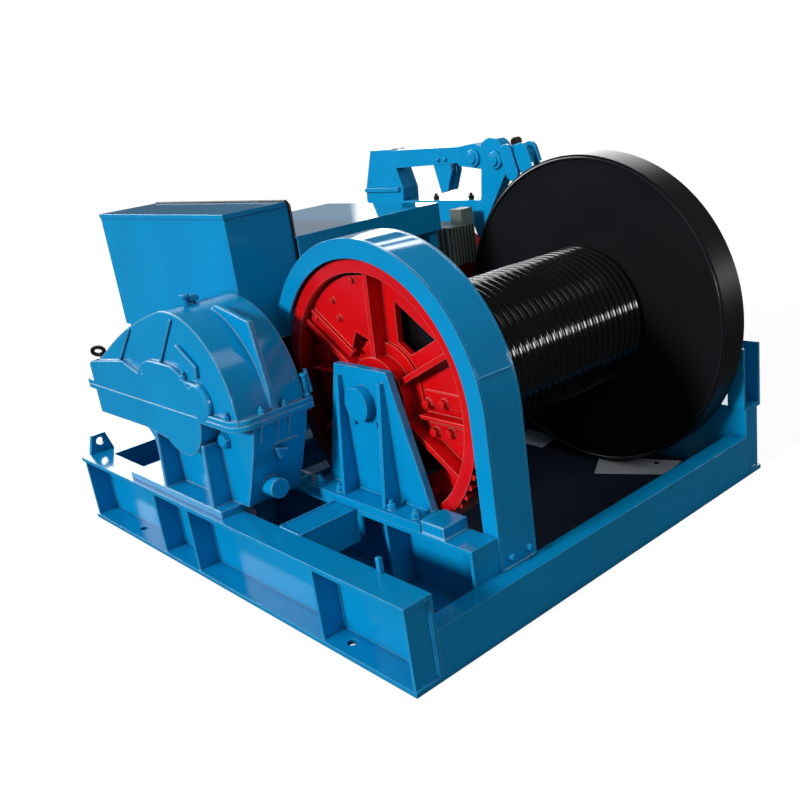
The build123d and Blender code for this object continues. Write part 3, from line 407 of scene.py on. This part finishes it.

# %% [markdown]
# Shafts and bolt heads that nobody painted are turned steel: a metal, so its colour is in
# its reflection, with fine turning marks that spread the highlight. The loose plates on the
# bottom of the frame are pale, dull and blotchy; their near-white colour is painted light.

# %% Bare steel and pale plate with painted light
def bare_steel(name, colour, roughness):
    """Turned or rolled steel with a light film of oil."""
    finish, tree, place, output = start_finish(name)
    stain = add(tree, "ShaderNodeTexNoise", {"Scale": 30.0, "Detail": 6.0}, {"Vector": place})
    gloss = add(tree, "ShaderNodeMapRange",
                {"To Min": roughness - 0.1, "To Max": roughness + 0.15}, {0: stain.outputs[0]})
    tint = blend(tree, linear(colour), linear("#6E6A66"), stain.outputs[0])
    shader = add(tree, "ShaderNodeBsdfPrincipled", {"Metallic": 1.0},
                 {"Base Color": tint, "Roughness": gloss.outputs[0]})
    tree.links.new(shader.outputs[0], output.inputs[0])
    return finish


TURNED_STEEL = bare_steel("turned_steel", "#B9B7B2", 0.35)
# Its near-white colour is painted light: the light that falls on the floor under the flange.
PALE_PLATE_PAINTED_LIGHT = enamel("pale_plate_painted_light", "#F4F8FC", "#D8E4EE", "#FAFCFF", "#C4CED8", 0.35, 0.5)
RUBBER_BLACK = enamel("black_fitting_paint", "#1A1716", "#120F0E", "#3A3634", "#050404", 0.5, 0.4)
print("finishes:", [m.name for m in bpy.data.materials])

# %% Dress the solids
FINISH_OF_SLOT = {"blue_paint": BLUE_ENAMEL, "red_paint": RED_ENAMEL, "black_paint": BLACK_ENAMEL,
                  "bare_steel": TURNED_STEEL, "grey_paint": GREEN_GREY_ENAMEL}
FINISH_OF_NODE = {"gear_rim": GREASED_RED_ENAMEL, "floor_plate": FLOOR_PLATE_PAINTED_SHADE,
                  "left_floor_plate": FLOOR_PLATE_PAINTED_SHADE, "pinion_shaft": GREASED_RED_ENAMEL,
                  "reducer_upper": BLUE_CAST_ENAMEL, "reducer_lower": BLUE_CAST_ENAMEL,
                  "gear_spider": GREASED_RED_ENAMEL,
                  "hood_band": BLUE_GLOSS_ENAMEL, "canopy": BLUE_GLOSS_ENAMEL,
                  "cabinet_lid": BLUE_GLOSS_ENAMEL}
for part in frame["record"]["subparts"]:
    mesh = nodes[part["node"]].data
    mesh.materials.clear()
    slot_finish = FINISH_OF_SLOT[part["material_slot"]]
    mesh.materials.append(FINISH_OF_NODE.get(part["node"], slot_finish))

# %% [markdown]
# The fittings are cut, turned and welded pieces, so three small builders cover them all: a
# turned body from a profile, a plate from a flat outline, and a weld bead along a path. A
# bevel on most pieces stands for the rounded arris that paint and files leave.

# %% Builders for the fittings
ROUND_STEPS = 28
ARRIS = 1.2 * MM


def at(x, y, z):
    """A point given in millimetres."""
    return Vector((x, y, z)) * MM


def square_to(axis):
    """Two unit vectors that are square to an axis and to each other."""
    helper = X_AXIS if abs(axis.normalized().x) < 0.9 else Y_AXIS
    first = axis.cross(helper).normalized()
    return first, axis.normalized().cross(first)


def loop(made, centre, axis, radius, steps=ROUND_STEPS, turn=0.0):
    """A ring of vertices about an axis."""
    first, second = square_to(axis)
    ring = []
    for step in range(steps):
        angle = turn + 2 * pi * step / steps
        ring.append(made.verts.new(centre + radius * (cos(angle) * first + sin(angle) * second)))
    return ring


def join(made, first, second):
    """Faces between two rings of the same count."""
    for step in range(len(first)):
        after = (step + 1) % len(first)
        made.faces.new((first[step], first[after], second[after], second[step]))


def turned(made, seat, axis, profile, steps=ROUND_STEPS):
    """A closed turned body: profile lists (height, radius) in metres from its seat."""
    axis = axis.normalized()
    rings = [loop(made, seat + height * axis, axis, radius, steps) for height, radius in profile]
    for first, second in zip(rings, rings[1:]):
        join(made, first, second)
    made.faces.new(rings[0][::-1])
    made.faces.new(rings[-1])


def hollow_turned(made, seat, axis, profile, steps=ROUND_STEPS):
    """A turned ring whose closed profile lists (height, radius) all the way round."""
    axis = axis.normalized()
    rings = [loop(made, seat + height * axis, axis, radius, steps) for height, radius in profile]
    for first, second in zip(rings, rings[1:] + rings[:1]):
        join(made, first, second)


def plate(made, outline, lift):
    """A closed plate: a flat outline of points and the vector that gives its thickness."""
    base = [made.verts.new(point) for point in outline]
    top = [made.verts.new(point + lift) for point in outline]
    join(made, base, top)
    made.faces.new(base[::-1])
    made.faces.new(top)


def plate_across(made, outline, x_low, x_high):
    """A plate square to X from (y, z) points, all in millimetres."""
    plate(made, [at(x_low, y, z) for y, z in outline], at(x_high - x_low, 0, 0))


def bolt(made, seat, axis, across):
    """A washer, a hexagon head with a domed top and no thread showing."""
    corner = across / 2 / cos(pi / 6)
    turned(made, seat, axis, [(0, across * 0.62), (across * 0.12, across * 0.62)])
    turned(made, seat, axis, [(across * 0.1, corner), (across * 0.68, corner),
                              (across * 0.78, corner * 0.8)], 6)


def stud(made, seat, axis, across):
    """A nut on a washer with the end of its stud standing out."""
    bolt(made, seat, axis, across)
    turned(made, seat, axis, [(across * 0.7, across * 0.3), (across * 1.15, across * 0.3),
                              (across * 1.22, across * 0.24)], 12)


BEAD_STEP = 9 * MM
BEAD_RADIUS = 4.5 * MM


def bead(made, path):
    """A weld bead along a path, swelling and narrowing where each drop of metal set."""
    points = []
    for start, end in zip(path, path[1:]):
        count = max(2, int((end - start).length / BEAD_STEP))
        points += [start.lerp(end, step / count) for step in range(count)]
    points.append(path[-1])
    rings = []
    for index, point in enumerate(points):
        before, after = points[max(index - 1, 0)], points[min(index + 1, len(points) - 1)]
        radius = BEAD_RADIUS * (1.0 if index % 2 else 0.78)
        rings.append(loop(made, point, after - before, radius, 7))
    for first, second in zip(rings, rings[1:]):
        join(made, first, second)
    made.faces.new(rings[0][::-1])
    made.faces.new(rings[-1])


def piece(name, mesh, finish, body):
    """Puts a mesh into the scene with its finish and lets it ride on a body."""
    made = bpy.data.objects.new(name, mesh)
    scene.collection.objects.link(made)
    mesh.materials.clear()
    mesh.materials.append(finish)
    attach(made, body)
    return made


def fitting(name, made, finish, body="frame", arris=ARRIS):
    """Turns built geometry into a piece, with a bevel on its sharp edges."""
    bmesh.ops.recalc_face_normals(made, faces=made.faces)
    mesh = bpy.data.meshes.new(name)
    made.to_mesh(mesh)
    made.free()
    placed = piece(name, mesh, finish, body)
    if arris:
        bevel = placed.modifiers.new("arris", "BEVEL")
        bevel.width = arris
        bevel.segments = 2
        bevel.limit_method = "ANGLE"
        bevel.harden_normals = False
    for polygon in mesh.polygons:
        polygon.use_smooth = False
    print(name, len(mesh.polygons), "faces")
    return placed


# %% [markdown]
# The rope drum is turned with grooves that lay the rope side by side. They are far finer
# than the rest of the drum, so they are made here: a tube whose radius follows a rounded
# wave with round crests and tight roots. Each crest mirrors the light as one short bright
# line, which is what makes a greased drum read as turned steel under black paint.

# %% Grooved rope drum
GROOVE_PITCH = 29.0 * MM
GROOVE_DEPTH = 9.0 * MM
STEPS_PER_PITCH = 12
STEPS_AROUND = 160
NEAR_END_THICK = 18.0 * MM
NEAR_END_LIP = 20.0 * MM


def groove_radius(along, start, end, crest):
    """Radius of the grooved barrel at a place along it: rounded crests between the grooves."""
    count = round((end - start) / GROOVE_PITCH)
    phase = (along - start) / (end - start) * count
    return crest - GROOVE_DEPTH * (1 - abs(sin(pi * phase)) ** 0.8)


def drum_mesh():
    """The barrel with its grooves, its near end disc and closed ends."""
    start, end = low("drum_barrel").x, high("drum_barrel").x
    lip = high("drum_barrel").z - DRUM_Z
    crest = lip - NEAR_END_LIP
    bore = high("drum_shaft").z - DRUM_Z
    barrel_start = start + NEAR_END_THICK
    count = int((end - barrel_start) / GROOVE_PITCH * STEPS_PER_PITCH)
    stations = [(start, bore), (start, lip - 3 * MM), (start + 3 * MM, lip),
                (barrel_start - 3 * MM, lip), (barrel_start, lip - 3 * MM)]
    for step in range(count + 1):
        along = barrel_start + (end - barrel_start) * step / count
        stations.append((along, groove_radius(along, barrel_start, end, crest)))
    stations.append((end, bore))
    made = bmesh.new()
    profile = [(along - start, radius) for along, radius in stations]
    hollow_turned(made, Vector((start, DRUM_Y, DRUM_Z)), X_AXIS, profile, STEPS_AROUND)
    bmesh.ops.recalc_face_normals(made, faces=made.faces)
    mesh = bpy.data.meshes.new("grooved_drum")
    made.to_mesh(mesh)
    made.free()
    for polygon in mesh.polygons:
        polygon.use_smooth = True
    return mesh


grooved_drum = piece("grooved_drum", drum_mesh(), GREASED_BLACK, "drum")
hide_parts("drum_barrel")
print("grooved drum:", len(grooved_drum.data.polygons), "faces")

# %% [markdown]
# The far flange is rolled plate with a lip welded on near its edge, and two small rigging
# holes are drilled through the rim.

# %% Flange fittings
LIP_INSET = 6.0 * MM
LIP_WIDTH = 9.0 * MM
LIP_HEIGHT = 7.0 * MM
RIM_HOLE_RADIUS = 6.0 * MM
RIM_HOLES_AT = (102.0, 109.0)
RIM_HOLE_FROM_NEAR = 62.0 * MM

made = bmesh.new()
lip_outer = FLANGE_RADIUS - LIP_INSET
hollow_turned(made, Vector((FLANGE_NEAR, DRUM_Y, DRUM_Z)), -X_AXIS,
              [(-0.5 * MM, lip_outer), (LIP_HEIGHT * 0.6, lip_outer), (LIP_HEIGHT, lip_outer - LIP_WIDTH / 2),
               (LIP_HEIGHT * 0.6, lip_outer - LIP_WIDTH), (-0.5 * MM, lip_outer - LIP_WIDTH)], 180)
lip_piece = fitting("flange_lip", made, LIP_ENAMEL, "drum", 0)
for polygon in lip_piece.data.polygons:
    polygon.use_smooth = True

made = bmesh.new()
for degrees in RIM_HOLES_AT:
    out = Vector((0, cos(radians(degrees)), sin(radians(degrees))))
    seat = Vector((FLANGE_NEAR + RIM_HOLE_FROM_NEAR, DRUM_Y, DRUM_Z)) + (FLANGE_RADIUS - 3 * MM) * out
    turned(made, seat, out, [(0, RIM_HOLE_RADIUS), (2.4 * MM, RIM_HOLE_RADIUS)], 16)
fitting("rim_hole_plugs", made, RUBBER_BLACK, "drum", 0)

# %% [markdown]
# A gear this size is cast in halves and bolted together: bars stand on the web along the
# joint, and a row of bolts goes through each. The rim has its own bolts.

# %% Gear splice and bolts
WEB_NEAR = -329.0
SPLICE_BARS = ((60.0, -14.0, 22.0), (60.0, -62.0, -100.0))
SPLICE_BOLTS = ((-168.0, -6.0), (-232.0, 2.0), (-186.0, -84.0), (-246.0, -78.0))
SPLICE_TILT = 8.0


def on_web(across, up, x):
    """A point on the gear web from its offsets to the drum axis, in millimetres."""
    return Vector((x * MM, DRUM_Y + across * MM, DRUM_Z + up * MM))


made = bmesh.new()
for side in (-1, 1):
    for low_edge, high_edge in ((-14.0, 30.0), (-108.0, -62.0)):
        corners = [on_web(side * 155, side * -low_edge - 0, WEB_NEAR), on_web(side * 330, side * -low_edge, WEB_NEAR),
                   on_web(side * 330, side * -high_edge, WEB_NEAR), on_web(side * 155, side * -high_edge, WEB_NEAR)]
        plate(made, corners, -10 * MM * X_AXIS)
    ridge = [on_web(side * 155, side * 34, WEB_NEAR), on_web(side * 335, side * 34, WEB_NEAR),
             on_web(side * 335, side * 44, WEB_NEAR), on_web(side * 155, side * 44, WEB_NEAR)]
    plate(made, ridge, -38 * MM * X_AXIS)
for across, up in SPLICE_BOLTS:
    for side in (1, -1):
        bolt(made, on_web(side * across, side * up, WEB_NEAR - 10), -X_AXIS, 24 * MM)
for spoke in range(6):
    angle = radians(63 + 60 * spoke)
    for radius in (196, 310):
        seat = on_web(radius * cos(angle) , radius * sin(angle), WEB_NEAR)
        if radius == 310:
            bolt(made, seat, -X_AXIS, 22 * MM)
for first_turn, last_turn in ((158, 208), (338, 388)):
    arc = [radians(first_turn + (last_turn - first_turn) * step / 6) for step in range(7)]
    corners = [on_web(332 * cos(a), 332 * sin(a), WEB_NEAR) for a in arc]
    corners += [on_web(146 * cos(a), 146 * sin(a), WEB_NEAR) for a in reversed(arc)]
    plate(made, corners, -5 * MM * X_AXIS)
PLATE_NEAR = -363.0
corners = [on_web(r * cos(radians(a)), r * sin(radians(a)), PLATE_NEAR)
           for r, a in ((340, 35), (346, 48), (346, 62), (346, 76), (340, 91), (152, 89), (190, 68),
                        (150, 40))]
plate(made, corners, -5 * MM * X_AXIS)
for r, a in ((302, 60), (328, 82), (315, 40), (250, 58)):
    bolt(made, on_web(r * cos(radians(a)), r * sin(radians(a)), PLATE_NEAR - 5), -X_AXIS, 15 * MM)
along, across = Vector((0, cos(radians(33)), sin(radians(33)))), Vector((0, -sin(radians(33)), cos(radians(33))))
start = Vector((PLATE_NEAR * MM, DRUM_Y, DRUM_Z)) + 135 * MM * along + 46 * MM * across
plate(made, [start, start + 200 * MM * along, start + 200 * MM * along + 9 * MM * across,
             start + 9 * MM * across], -16 * MM * X_AXIS)
fitting("gear_splice", made, GREASED_RED_ENAMEL, "drum", 1.5 * MM)

# %% [markdown]
# The rim carries a thin shroud ring on its near side. It reaches half way up the teeth and
# stiffens them, so that from this side only the tips of the teeth show beyond it.

# %% Shroud ring on the gear rim
RIM_NEAR = low("gear_rim").x
SHROUD_INNER, SHROUD_OUTER = 352 * MM, 391 * MM
SHROUD_GAP, SHROUD_THICK = 0.3 * MM, 4 * MM
made = bmesh.new()
hollow_turned(made, Vector((RIM_NEAR - SHROUD_GAP, DRUM_Y, DRUM_Z)), -X_AXIS,
              [(0, SHROUD_OUTER), (SHROUD_THICK * 0.7, SHROUD_OUTER), (SHROUD_THICK, SHROUD_OUTER - 1.5 * MM),
               (SHROUD_THICK, SHROUD_INNER), (0, SHROUD_INNER)], 160)
fitting("gear_shroud", made, GREASED_RED_ENAMEL, "drum", 0)

# %% [markdown]
# The reducer is cast iron: its top half has two ribs on the near side, a rounded lobe over
# the bearing bolts, an eye bolt to lift it by and a breather, and a dipstick stands at the
# back corner of the joint.

# %% Reducer fittings
BOSS_FACE, REDUCER_FACE = -754.0, -738.0

made = bmesh.new()
for top, foot in (((303, 770), (428, 656)), ((14, 824), (146, 678))):
    lean = Vector((0, foot[0] - top[0], foot[1] - top[1])).normalized()
    across = X_AXIS.cross(lean) * 4 * MM
    ends = [at(REDUCER_FACE, *top), at(REDUCER_FACE, *foot)]
    corners = [ends[0] - across, ends[0] + across, ends[1] + across, ends[1] - across]
    plate(made, corners, -8 * MM * X_AXIS)
plate_across(made, [(16, 752), (2, 752), (-84, 700), (-76, 664), (-64, 664), (-68, 694)], -750, REDUCER_FACE)
turned(made, at(BOSS_FACE - 2, -62, 590), X_AXIS, [(0, 50 * MM), (6 * MM, 56 * MM), (18 * MM, 58 * MM)], 48)
plate_across(made, [(-62, 646), (40, 650), (40, 540), (-62, 540)], BOSS_FACE + 1, REDUCER_FACE)
for place in (-672, -617, -578):
    plate_across(made, [(-247, 530), (-214, 530), (-212, 462), (-222, 470)], place - 5, place + 5)
lug = [at(-631, -225, 446), at(-588, -225, 432), at(-600, -214, 404), at(-616, -214, 404)]
plate(made, lug, at(0, 30, 0))
fitting("reducer_ribs", made, BLUE_CAST_ENAMEL, arris=3 * MM)

made = bmesh.new()
for seat in (at(-746, 262, 634), at(-746, 8, 650), at(-746, -195, 562), at(-664, -242, 562), at(-590, -242, 562)):
    stud(made, seat, Z_AXIS, 18 * MM)
for along in range(7):
    stud(made, at(-507, -170 + 130 * along, 562), Z_AXIS, 18 * MM)
turned(made, at(-696, -72, 464), -X_AXIS, [(0, 24 * MM), (14 * MM, 22 * MM), (20 * MM, 16 * MM)])
fitting("reducer_bolts", made, BLUE_ENAMEL)

made = bmesh.new()
turned(made, at(-640, 70, 826), Z_AXIS, [(0, 13 * MM), (24 * MM, 13 * MM), (25 * MM, 24 * MM), (34 * MM, 24 * MM), (40 * MM, 16 * MM)], 24)
turned(made, at(-668, 50, 830), Z_AXIS, [(0, 9 * MM), (34 * MM, 9 * MM), (36 * MM, 15 * MM), (46 * MM, 15 * MM)], 16)
turned(made, at(-508, -238, 560), Z_AXIS, [(0, 12 * MM), (12 * MM, 12 * MM), (14 * MM, 8 * MM), (62 * MM, 8 * MM), (64 * MM, 12 * MM), (72 * MM, 12 * MM)], 16)
plate_across(made, [(-249, 574), (-226, 574), (-226, 640), (-238, 640)], -500, -492)
fitting("reducer_breather", made, BLUE_ENAMEL)

made = bmesh.new()
eye = at(-700, 700, 644)
eye_rings = []
for step in range(24):
    angle = 2 * pi * step / 24
    centre = eye + 24 * MM * Vector((0.5 * cos(angle), -0.85 * cos(angle), 0.55 * sin(angle)))
    tangent = Vector((-0.5 * sin(angle), 0.85 * sin(angle), 0.55 * cos(angle)))
    eye_rings.append(loop(made, centre, tangent, 7 * MM, 10))
for first, second in zip(eye_rings, eye_rings[1:] + eye_rings[:1]):
    join(made, first, second)
turned(made, at(-700, 674, 600), Z_AXIS, [(0, 8 * MM), (42 * MM, 8 * MM)], 14)
eye_piece = fitting("reducer_lifting_eye", made, RUBBER_BLACK, "frame", 0)
for polygon in eye_piece.data.polygons:
    polygon.use_smooth = True

# %% [markdown]
# The cabinet lid closes on a rubber seal. The seal shows as a black line along the far edge
# of the lid and down the corner beside the canopy.

# %% Cabinet seal
SEAL = 7 * MM
lid_low, lid_high = low("cabinet_lid"), high("cabinet_lid")
made = bmesh.new()
seal_path = [Vector((lid_high.x - SEAL, lid_high.y - SEAL, lid_high.z)),
             Vector((lid_high.x - SEAL, lid_low.y + 2 * MM, lid_high.z)),
             Vector((lid_high.x + 2 * MM, lid_low.y + 2 * MM, lid_high.z - 14 * MM)),
             Vector((lid_high.x + 2 * MM, lid_low.y + 2 * MM, low("canopy").z - 60 * MM))]
for start, end in zip(seal_path, seal_path[1:]):
    turned(made, start, end - start, [(0, SEAL * 0.8), ((end - start).length, SEAL * 0.8)], 12)
turned(made, seal_path[0] - 12 * MM * Z_AXIS, -X_AXIS, [(0, SEAL * 0.7), (200 * MM, SEAL * 0.7)], 12)
fitting("cabinet_seal", made, RUBBER_BLACK, arris=0)

# %% [markdown]
# The pedestals are bolted down through their base plates, and two screws hold the cap
# round the near bearing boss.

# %% Pedestal fittings
made = bmesh.new()
for y, z in ((-344, 480), (-444, 486)):
    bolt(made, at(-430, y, z), -X_AXIS, 13 * MM)
for y in (-180, -280, -512, -612):
    stud(made, at(-478, y, 266), Z_AXIS, 24 * MM)
    stud(made, at(760, y, 266), Z_AXIS, 24 * MM)
fitting("pedestal_bolts", made, BLUE_ENAMEL)

# %% [markdown]
# The stop behind the base plate is a low flame-cut block, welded down along two sides.

# %% Pedestal stop
made = bmesh.new()
stop_low, stop_high = low("near_pedestal_stop"), high("near_pedestal_stop")
STOP_TOP, STOP_REACH = 276 * MM, 44 * MM
plate(made, [Vector((stop_low.x - 22 * MM, stop_high.y - 1 * MM, CHANNEL_TOP)), Vector((stop_high.x - 2 * MM, stop_high.y - 1 * MM, CHANNEL_TOP)),
             Vector((stop_high.x - 2 * MM, stop_low.y - STOP_REACH, CHANNEL_TOP)), Vector((stop_low.x - 22 * MM, stop_low.y - STOP_REACH, CHANNEL_TOP))],
      (STOP_TOP - CHANNEL_TOP) * Z_AXIS)
bead(made, [Vector((stop_low.x - 22 * MM, stop_high.y, CHANNEL_TOP)), Vector((stop_low.x - 22 * MM, stop_low.y - STOP_REACH, CHANNEL_TOP)),
            Vector((stop_high.x - 2 * MM, stop_low.y - STOP_REACH, CHANNEL_TOP))])
stop_piece = fitting("pedestal_stop", made, BLUE_CAST_ENAMEL, arris=4 * MM)
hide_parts("near_pedestal_stop")

# %% [markdown]
# The guard is rolled from two strips that meet in a weld across its front leg, and its foot
# is bolted to the front beam.

# %% Guard fittings
made = bmesh.new()
hood_front = low("hood_band").y
SEAM_Z = 661 * MM
seam_y = DRUM_Y - ((DRUM_Y - hood_front) ** 2 - (SEAM_Z - DRUM_Z) ** 2) ** 0.5
bead(made, [Vector((low("hood_band").x, seam_y, SEAM_Z)), Vector((high("hood_band").x, seam_y, SEAM_Z))])
bead(made, [Vector((low("hood_band").x, hood_front, 143 * MM)), Vector((high("hood_band").x, hood_front, 143 * MM))])
fitting("guard_weld", made, BLUE_ENAMEL, arris=0)
made = bmesh.new()
for x in (-370, -304):
    bolt(made, Vector((x * MM, hood_front, 172 * MM)), -Y_AXIS, 16 * MM)
fitting("guard_bolts", made, BLUE_ENAMEL)

# %% [markdown]
# The brake arms are folded and welded plate: webs run back from the rear arm, the hanging
# link has a side plate, the pins end in stepped bosses and the fork has two rounded cheeks
# with a dark pin between them. Two dark screws stand on the cover between the arms.

# %% Brake fittings
ARM_NEAR, ARM_FAR = 692.0, 738.0

made = bmesh.new()
plate_across(made, [(690, 1117), (702, 1117), (652, 958), (654, 905), (640, 905), (636, 958)], ARM_FAR - 4, 778)
plate_across(made, [(876, 950), (650, 950), (650, 966), (870, 966)], ARM_NEAR - 12, ARM_NEAR + 4)
plate_across(made, [(336, 1050), (328, 1050), (328, 1020), (362, 946), (372, 946)], ARM_FAR - 20, 746)
plate_across(made, [(434, 1050), (336, 1050), (333, 1022), (369, 944), (405, 938)], ARM_NEAR + 2, ARM_NEAR + 14)
for y, z, radius in ((201, 1066, 32), (88, 1054, 32)):
    turned(made, at(ARM_NEAR, y, z), -X_AXIS, [(0, radius * MM), (9 * MM, radius * MM), (11 * MM, (radius - 3) * MM),
                                               (12 * MM, radius * 0.6 * MM), (20 * MM, radius * 0.6 * MM)], 36)
for y in (395, 355):
    stud(made, at(ARM_NEAR + 2, y, 1066), -X_AXIS, 14 * MM)
fitting("brake_plates", made, BLUE_ENAMEL, arris=2.5 * MM)


def cheek(made, low_end, high_end, radius, x_low, x_high):
    """A rounded bar-shaped plate between two pin centres given as (y, z)."""
    first, second = Vector((0, *low_end)), Vector((0, *high_end))
    lean = (second - first).normalized()
    side = X_AXIS.cross(lean)
    outline = []
    for centre, start in ((second, 0.0), (first, pi)):
        for step in range(9):
            angle = start + pi * step / 8
            point = centre + radius * (cos(angle) * side + sin(angle) * lean)
            outline.append((point.y, point.z))
    plate_across(made, outline, x_low, x_high)


made = bmesh.new()
cheek(made, (10, 1006), (32, 1078), 30, 684, 700)
cheek(made, (-58, 1030), (-42, 1078), 32, 684, 700)
cheek(made, (-58, 1030), (-42, 1078), 32, 730, 746)
fitting("brake_fork_cheeks", made, BLUE_ENAMEL, arris=3 * MM)

made = bmesh.new()
turned(made, at(700, 3, 1112), X_AXIS, [(0, 12 * MM), (5 * MM, 17 * MM), (30 * MM, 17 * MM), (36 * MM, 12 * MM)], 24)
for y in (462, 262):
    stud(made, at(715, y, 910), Z_AXIS, 20 * MM)
fitting("brake_dark_screws", made, RUBBER_BLACK)

# %% [markdown]
# The motor frame is cast with cooling fins that run along it, and its connection box has
# upright ribs. A ring of screws holds each end shield.

# %% Motor fins
MOTOR_Z = DRUM_Z
motor_low, motor_high = low("motor"), high("motor")
motor_radius = (motor_high.y - motor_low.y) / 2
FIN_HEIGHT = 13 * MM
FIN_THICK = 6 * MM
FIN_INSET = 70 * MM

made = bmesh.new()
for fin in range(36):
    angle = 2 * pi * fin / 36
    if abs(cos(angle)) > 0.95 or sin(angle) < -0.55:
        continue
    out = Vector((0, cos(angle), sin(angle)))
    along = Vector((0, -sin(angle), cos(angle)))
    root = Vector((motor_low.x + FIN_INSET, INPUT_Y, MOTOR_Z)) + (motor_radius - 2 * MM) * out
    corners = [root - along * FIN_THICK / 2, root + along * FIN_THICK / 2,
               root + along * FIN_THICK / 3 + out * FIN_HEIGHT, root - along * FIN_THICK / 3 + out * FIN_HEIGHT]
    box_start = low("motor_terminal_box").x
    covered = out.z > 0.2 and out.y < 0.35
    length = (box_start if covered else motor_high.x - FIN_INSET) - root.x
    plate(made, corners, length * X_AXIS)
for end, way in ((motor_low.x, -1), (motor_high.x, 1)):
    for screw in range(8):
        angle = pi / 8 + 2 * pi * screw / 8
        seat = Vector((end, INPUT_Y + 145 * MM * cos(angle), MOTOR_Z + 145 * MM * sin(angle)))
        bolt(made, seat, way * X_AXIS, 16 * MM)
fitting("motor_fins", made, GREEN_GREY_ENAMEL)

made = bmesh.new()
box_low, box_high = low("motor_terminal_box"), high("motor_terminal_box")
box_top = box_low.z + 140 * MM
for rib in range(7):
    x = box_low.x + 10 * MM + rib * 16.5 * MM
    plate(made, [Vector((x, box_low.y, box_low.z)), Vector((x + 6 * MM, box_low.y, box_low.z)),
                 Vector((x + 6 * MM, box_low.y, box_top)), Vector((x, box_low.y, box_top))], -8 * MM * Y_AXIS)
for rib in range(9):
    y = box_low.y + 12 * MM + rib * 27 * MM
    plate(made, [Vector((box_low.x, y, box_low.z + 20 * MM)), Vector((box_low.x, y + 7 * MM, box_low.z + 20 * MM)),
                 Vector((box_low.x, y + 7 * MM, box_top)), Vector((box_low.x, y, box_top))], -9 * MM * X_AXIS)
plate(made, [Vector((box_low.x - 6 * MM, box_low.y - 6 * MM, box_top)), Vector((box_high.x, box_low.y - 6 * MM, box_top)),
             Vector((box_high.x, box_high.y, box_top)), Vector((box_low.x - 6 * MM, box_high.y, box_top))], 6 * MM * Z_AXIS)
fitting("terminal_box_ribs", made, GREEN_GREY_ENAMEL)

# %% [markdown]
# Pale plates lie on the bottom of the frame under the flange: their near-white colour is painted light, and a black
# disc on one is painted shade for a drain hole.
# Welds join the stiffeners and cross beams to the side channels, and lie like a string of
# small scales in every inside corner.

# %% Loose plates and frame welds
made = bmesh.new()
FLOOR_TOP = 12.5
plate(made, [at(672, -665, FLOOR_TOP), at(552, -680, FLOOR_TOP), at(440, -470, FLOOR_TOP), at(560, -400, FLOOR_TOP)], 5 * MM * Z_AXIS)
plate(made, [at(650, 17, FLOOR_TOP), at(636, -135, FLOOR_TOP), at(534, -150, FLOOR_TOP), at(530, 0, FLOOR_TOP)], 5 * MM * Z_AXIS)
fitting("floor_plates_painted_light", made, PALE_PLATE_PAINTED_LIGHT)
# A black disc on the plate is painted shade: the dark of a drain hole.
made = bmesh.new()
turned(made, at(612, -606, FLOOR_TOP + 4), Z_AXIS, [(0, 9 * MM), (1.6 * MM, 9 * MM)], 20)
fitting("drain_hole_painted_shade", made, RUBBER_BLACK, arris=0)

made = bmesh.new()
web_left = LEFT + CHANNEL_FLANGE - 10 * MM
for side, web in ((-1, web_left), (1, -web_left)):
    for distance in (13, 375, 1032, 1255, 1787):
        y = FRONT + distance * MM
        for shift in (-6 * MM, 6 * MM):
            bead(made, [Vector((web + side * 1 * MM, y + shift, 18 * MM)), Vector((web + side * 1 * MM, y + shift, 222 * MM))])
for y in (-372, -272):
    bead(made, [at(-694, y, 241), at(-500, y, 241)])
bead(made, [at(-694, -370, 240), at(-694, -274, 240)])
bead(made, [at(-410, -623, 267), at(-430, -623, 267), at(-430, -169, 267)])
bead(made, [at(692, -852, 240), at(692, -852, 440)])
plate(made, [at(-706, -716, 239), at(-694, -716, 239), at(-694, -730, 239), at(-706, -730, 239)], at(0, 0, 44))
fitting("frame_welds", made, BLUE_ENAMEL, arris=0)
